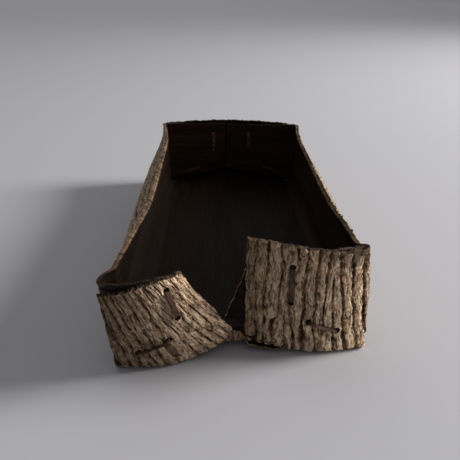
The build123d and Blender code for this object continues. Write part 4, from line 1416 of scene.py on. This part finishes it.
# %% [markdown]
# ## Tying the thongs
#
# Each path is a closed curve of twelve points round both layers. It runs straight through the
# two holes, a little proud of the bark in front, and its points follow the stitch's own
# directions, so that the strip lies on a leaning flap as well as on an upright one.


# %% Thong pieces
THONG_CLEARANCE, THONG_SAG = 0.3, 0.45


def thong_piece(half, key, ends, seed):
    name = half["name"] + "_" + key + "_thong"
    origin, along, out, length, rise = stitch_frame(half, ends)
    front = max(rise, 0.0) + THONG_CLEARANCE + THONG_THICKNESS / 2
    back = BARK + LAYER_GAP + TAB_BARK - min(rise, 0.0) + THONG_CLEARANCE + THONG_THICKNESS / 2
    reach = length / 2 - punch(half) + THONG_THICKNESS * 0.9
    near, far = front + THONG_SAG * 0.4, -back - THONG_SAG * 0.4
    outline = [(-reach, -back / 2), (-reach, front * 0.1), (-reach * 0.86, front), (-reach * 0.45, near),
               (0.0, front + THONG_SAG * 0.5), (reach * 0.45, near), (reach * 0.86, front),
               (reach, front * 0.1), (reach, -back / 2), (reach * 0.86, -back), (0.0, far),
               (-reach * 0.86, -back)]
    curve = bpy.data.curves.new(name + "_path", "CURVE")
    curve.dimensions = "3D"
    line = curve.splines.new("NURBS")
    line.points.add(len(outline) - 1)
    for point, (a, b) in zip(line.points, outline):
        point.co = (*((origin + along * a + out * b) * MM), 1.0)
    line.use_cyclic_u = True
    line.order_u = 3
    line.resolution_u = 8
    path = add_object(name + "_path", curve)
    strip = bake(path, strip_tree, Finish=strip_finishes[half["end"]], Seed=float(seed))
    bpy.data.objects.remove(path)
    bpy.data.curves.remove(curve)
    strip.name = strip.data.name = name + "_strip"
    strip.data.shade_smooth()
    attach(strip, "root")
    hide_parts(name)
    print(strip.name, "has", len(strip.data.polygons), "faces")
    return strip


thongs = []
for half in HALVES:
    for key, ends in half["stitches"].items():
        thongs.append(thong_piece(half, key, ends, len(thongs) + 1))

# %% [markdown]
# ## Floor and light
#
# The box stands on a pale table. Broad, low light comes from a window at the right, so it grazes
# the front, and soft shadows fall to the left and under the raised middle. One wide area light
# and a dim pale world give that. A second, far light only brightens the table behind the box.


# %% Floor, world and lights
FLOOR_REACH = 40.0


def floor_piece():
    mesh = bpy.data.meshes.new("floor")
    corners = [(x * FLOOR_REACH, y * FLOOR_REACH, 0) for x, y in ((-1, -1), (1, -1), (1, 1), (-1, 1))]
    mesh.from_pydata(corners, [], [(0, 1, 2, 3)])
    floor = add_object("floor", mesh)
    material = bpy.data.materials.new("pale table")
    material.use_nodes = True
    shader = material.node_tree.nodes["Principled BSDF"]
    shader.inputs["Base Color"].default_value = (0.55, 0.545, 0.57, 1.0)
    shader.inputs["Roughness"].default_value = 0.75
    mesh.materials.append(material)
    return floor


def area_light(name, place, aim, size, power, colour):
    data = bpy.data.lights.new(name, "AREA")
    data.shape, data.size, data.energy, data.color = "DISK", size, power, colour
    light = add_object(name, data)
    light.location = place
    light.rotation_mode = "QUATERNION"
    light.rotation_quaternion = (Vector(aim) - Vector(place)).to_track_quat("-Z", "Y")
    return light


floor = floor_piece()
area_light("window", (3.27, 0.51, 1.71), (0.0, -0.05, 0.03), 1.5, 166.0, (1.0, 0.985, 0.965))
area_light("far window", (-2.0, 11.0, 8.0), (-2.0, 11.0, 0.0), 18.0, 340.0, (0.99, 0.99, 1.0))
world = bpy.data.worlds.new("room")
world.use_nodes = True
world.node_tree.nodes["Background"].inputs[0].default_value = (0.95, 0.96, 1.0, 1.0)
world.node_tree.nodes["Background"].inputs[1].default_value = 0.2
bpy.context.scene.world = world
bpy.context.scene.view_settings.view_transform = "Standard"
print("a wide window light, a far one and a pale room")
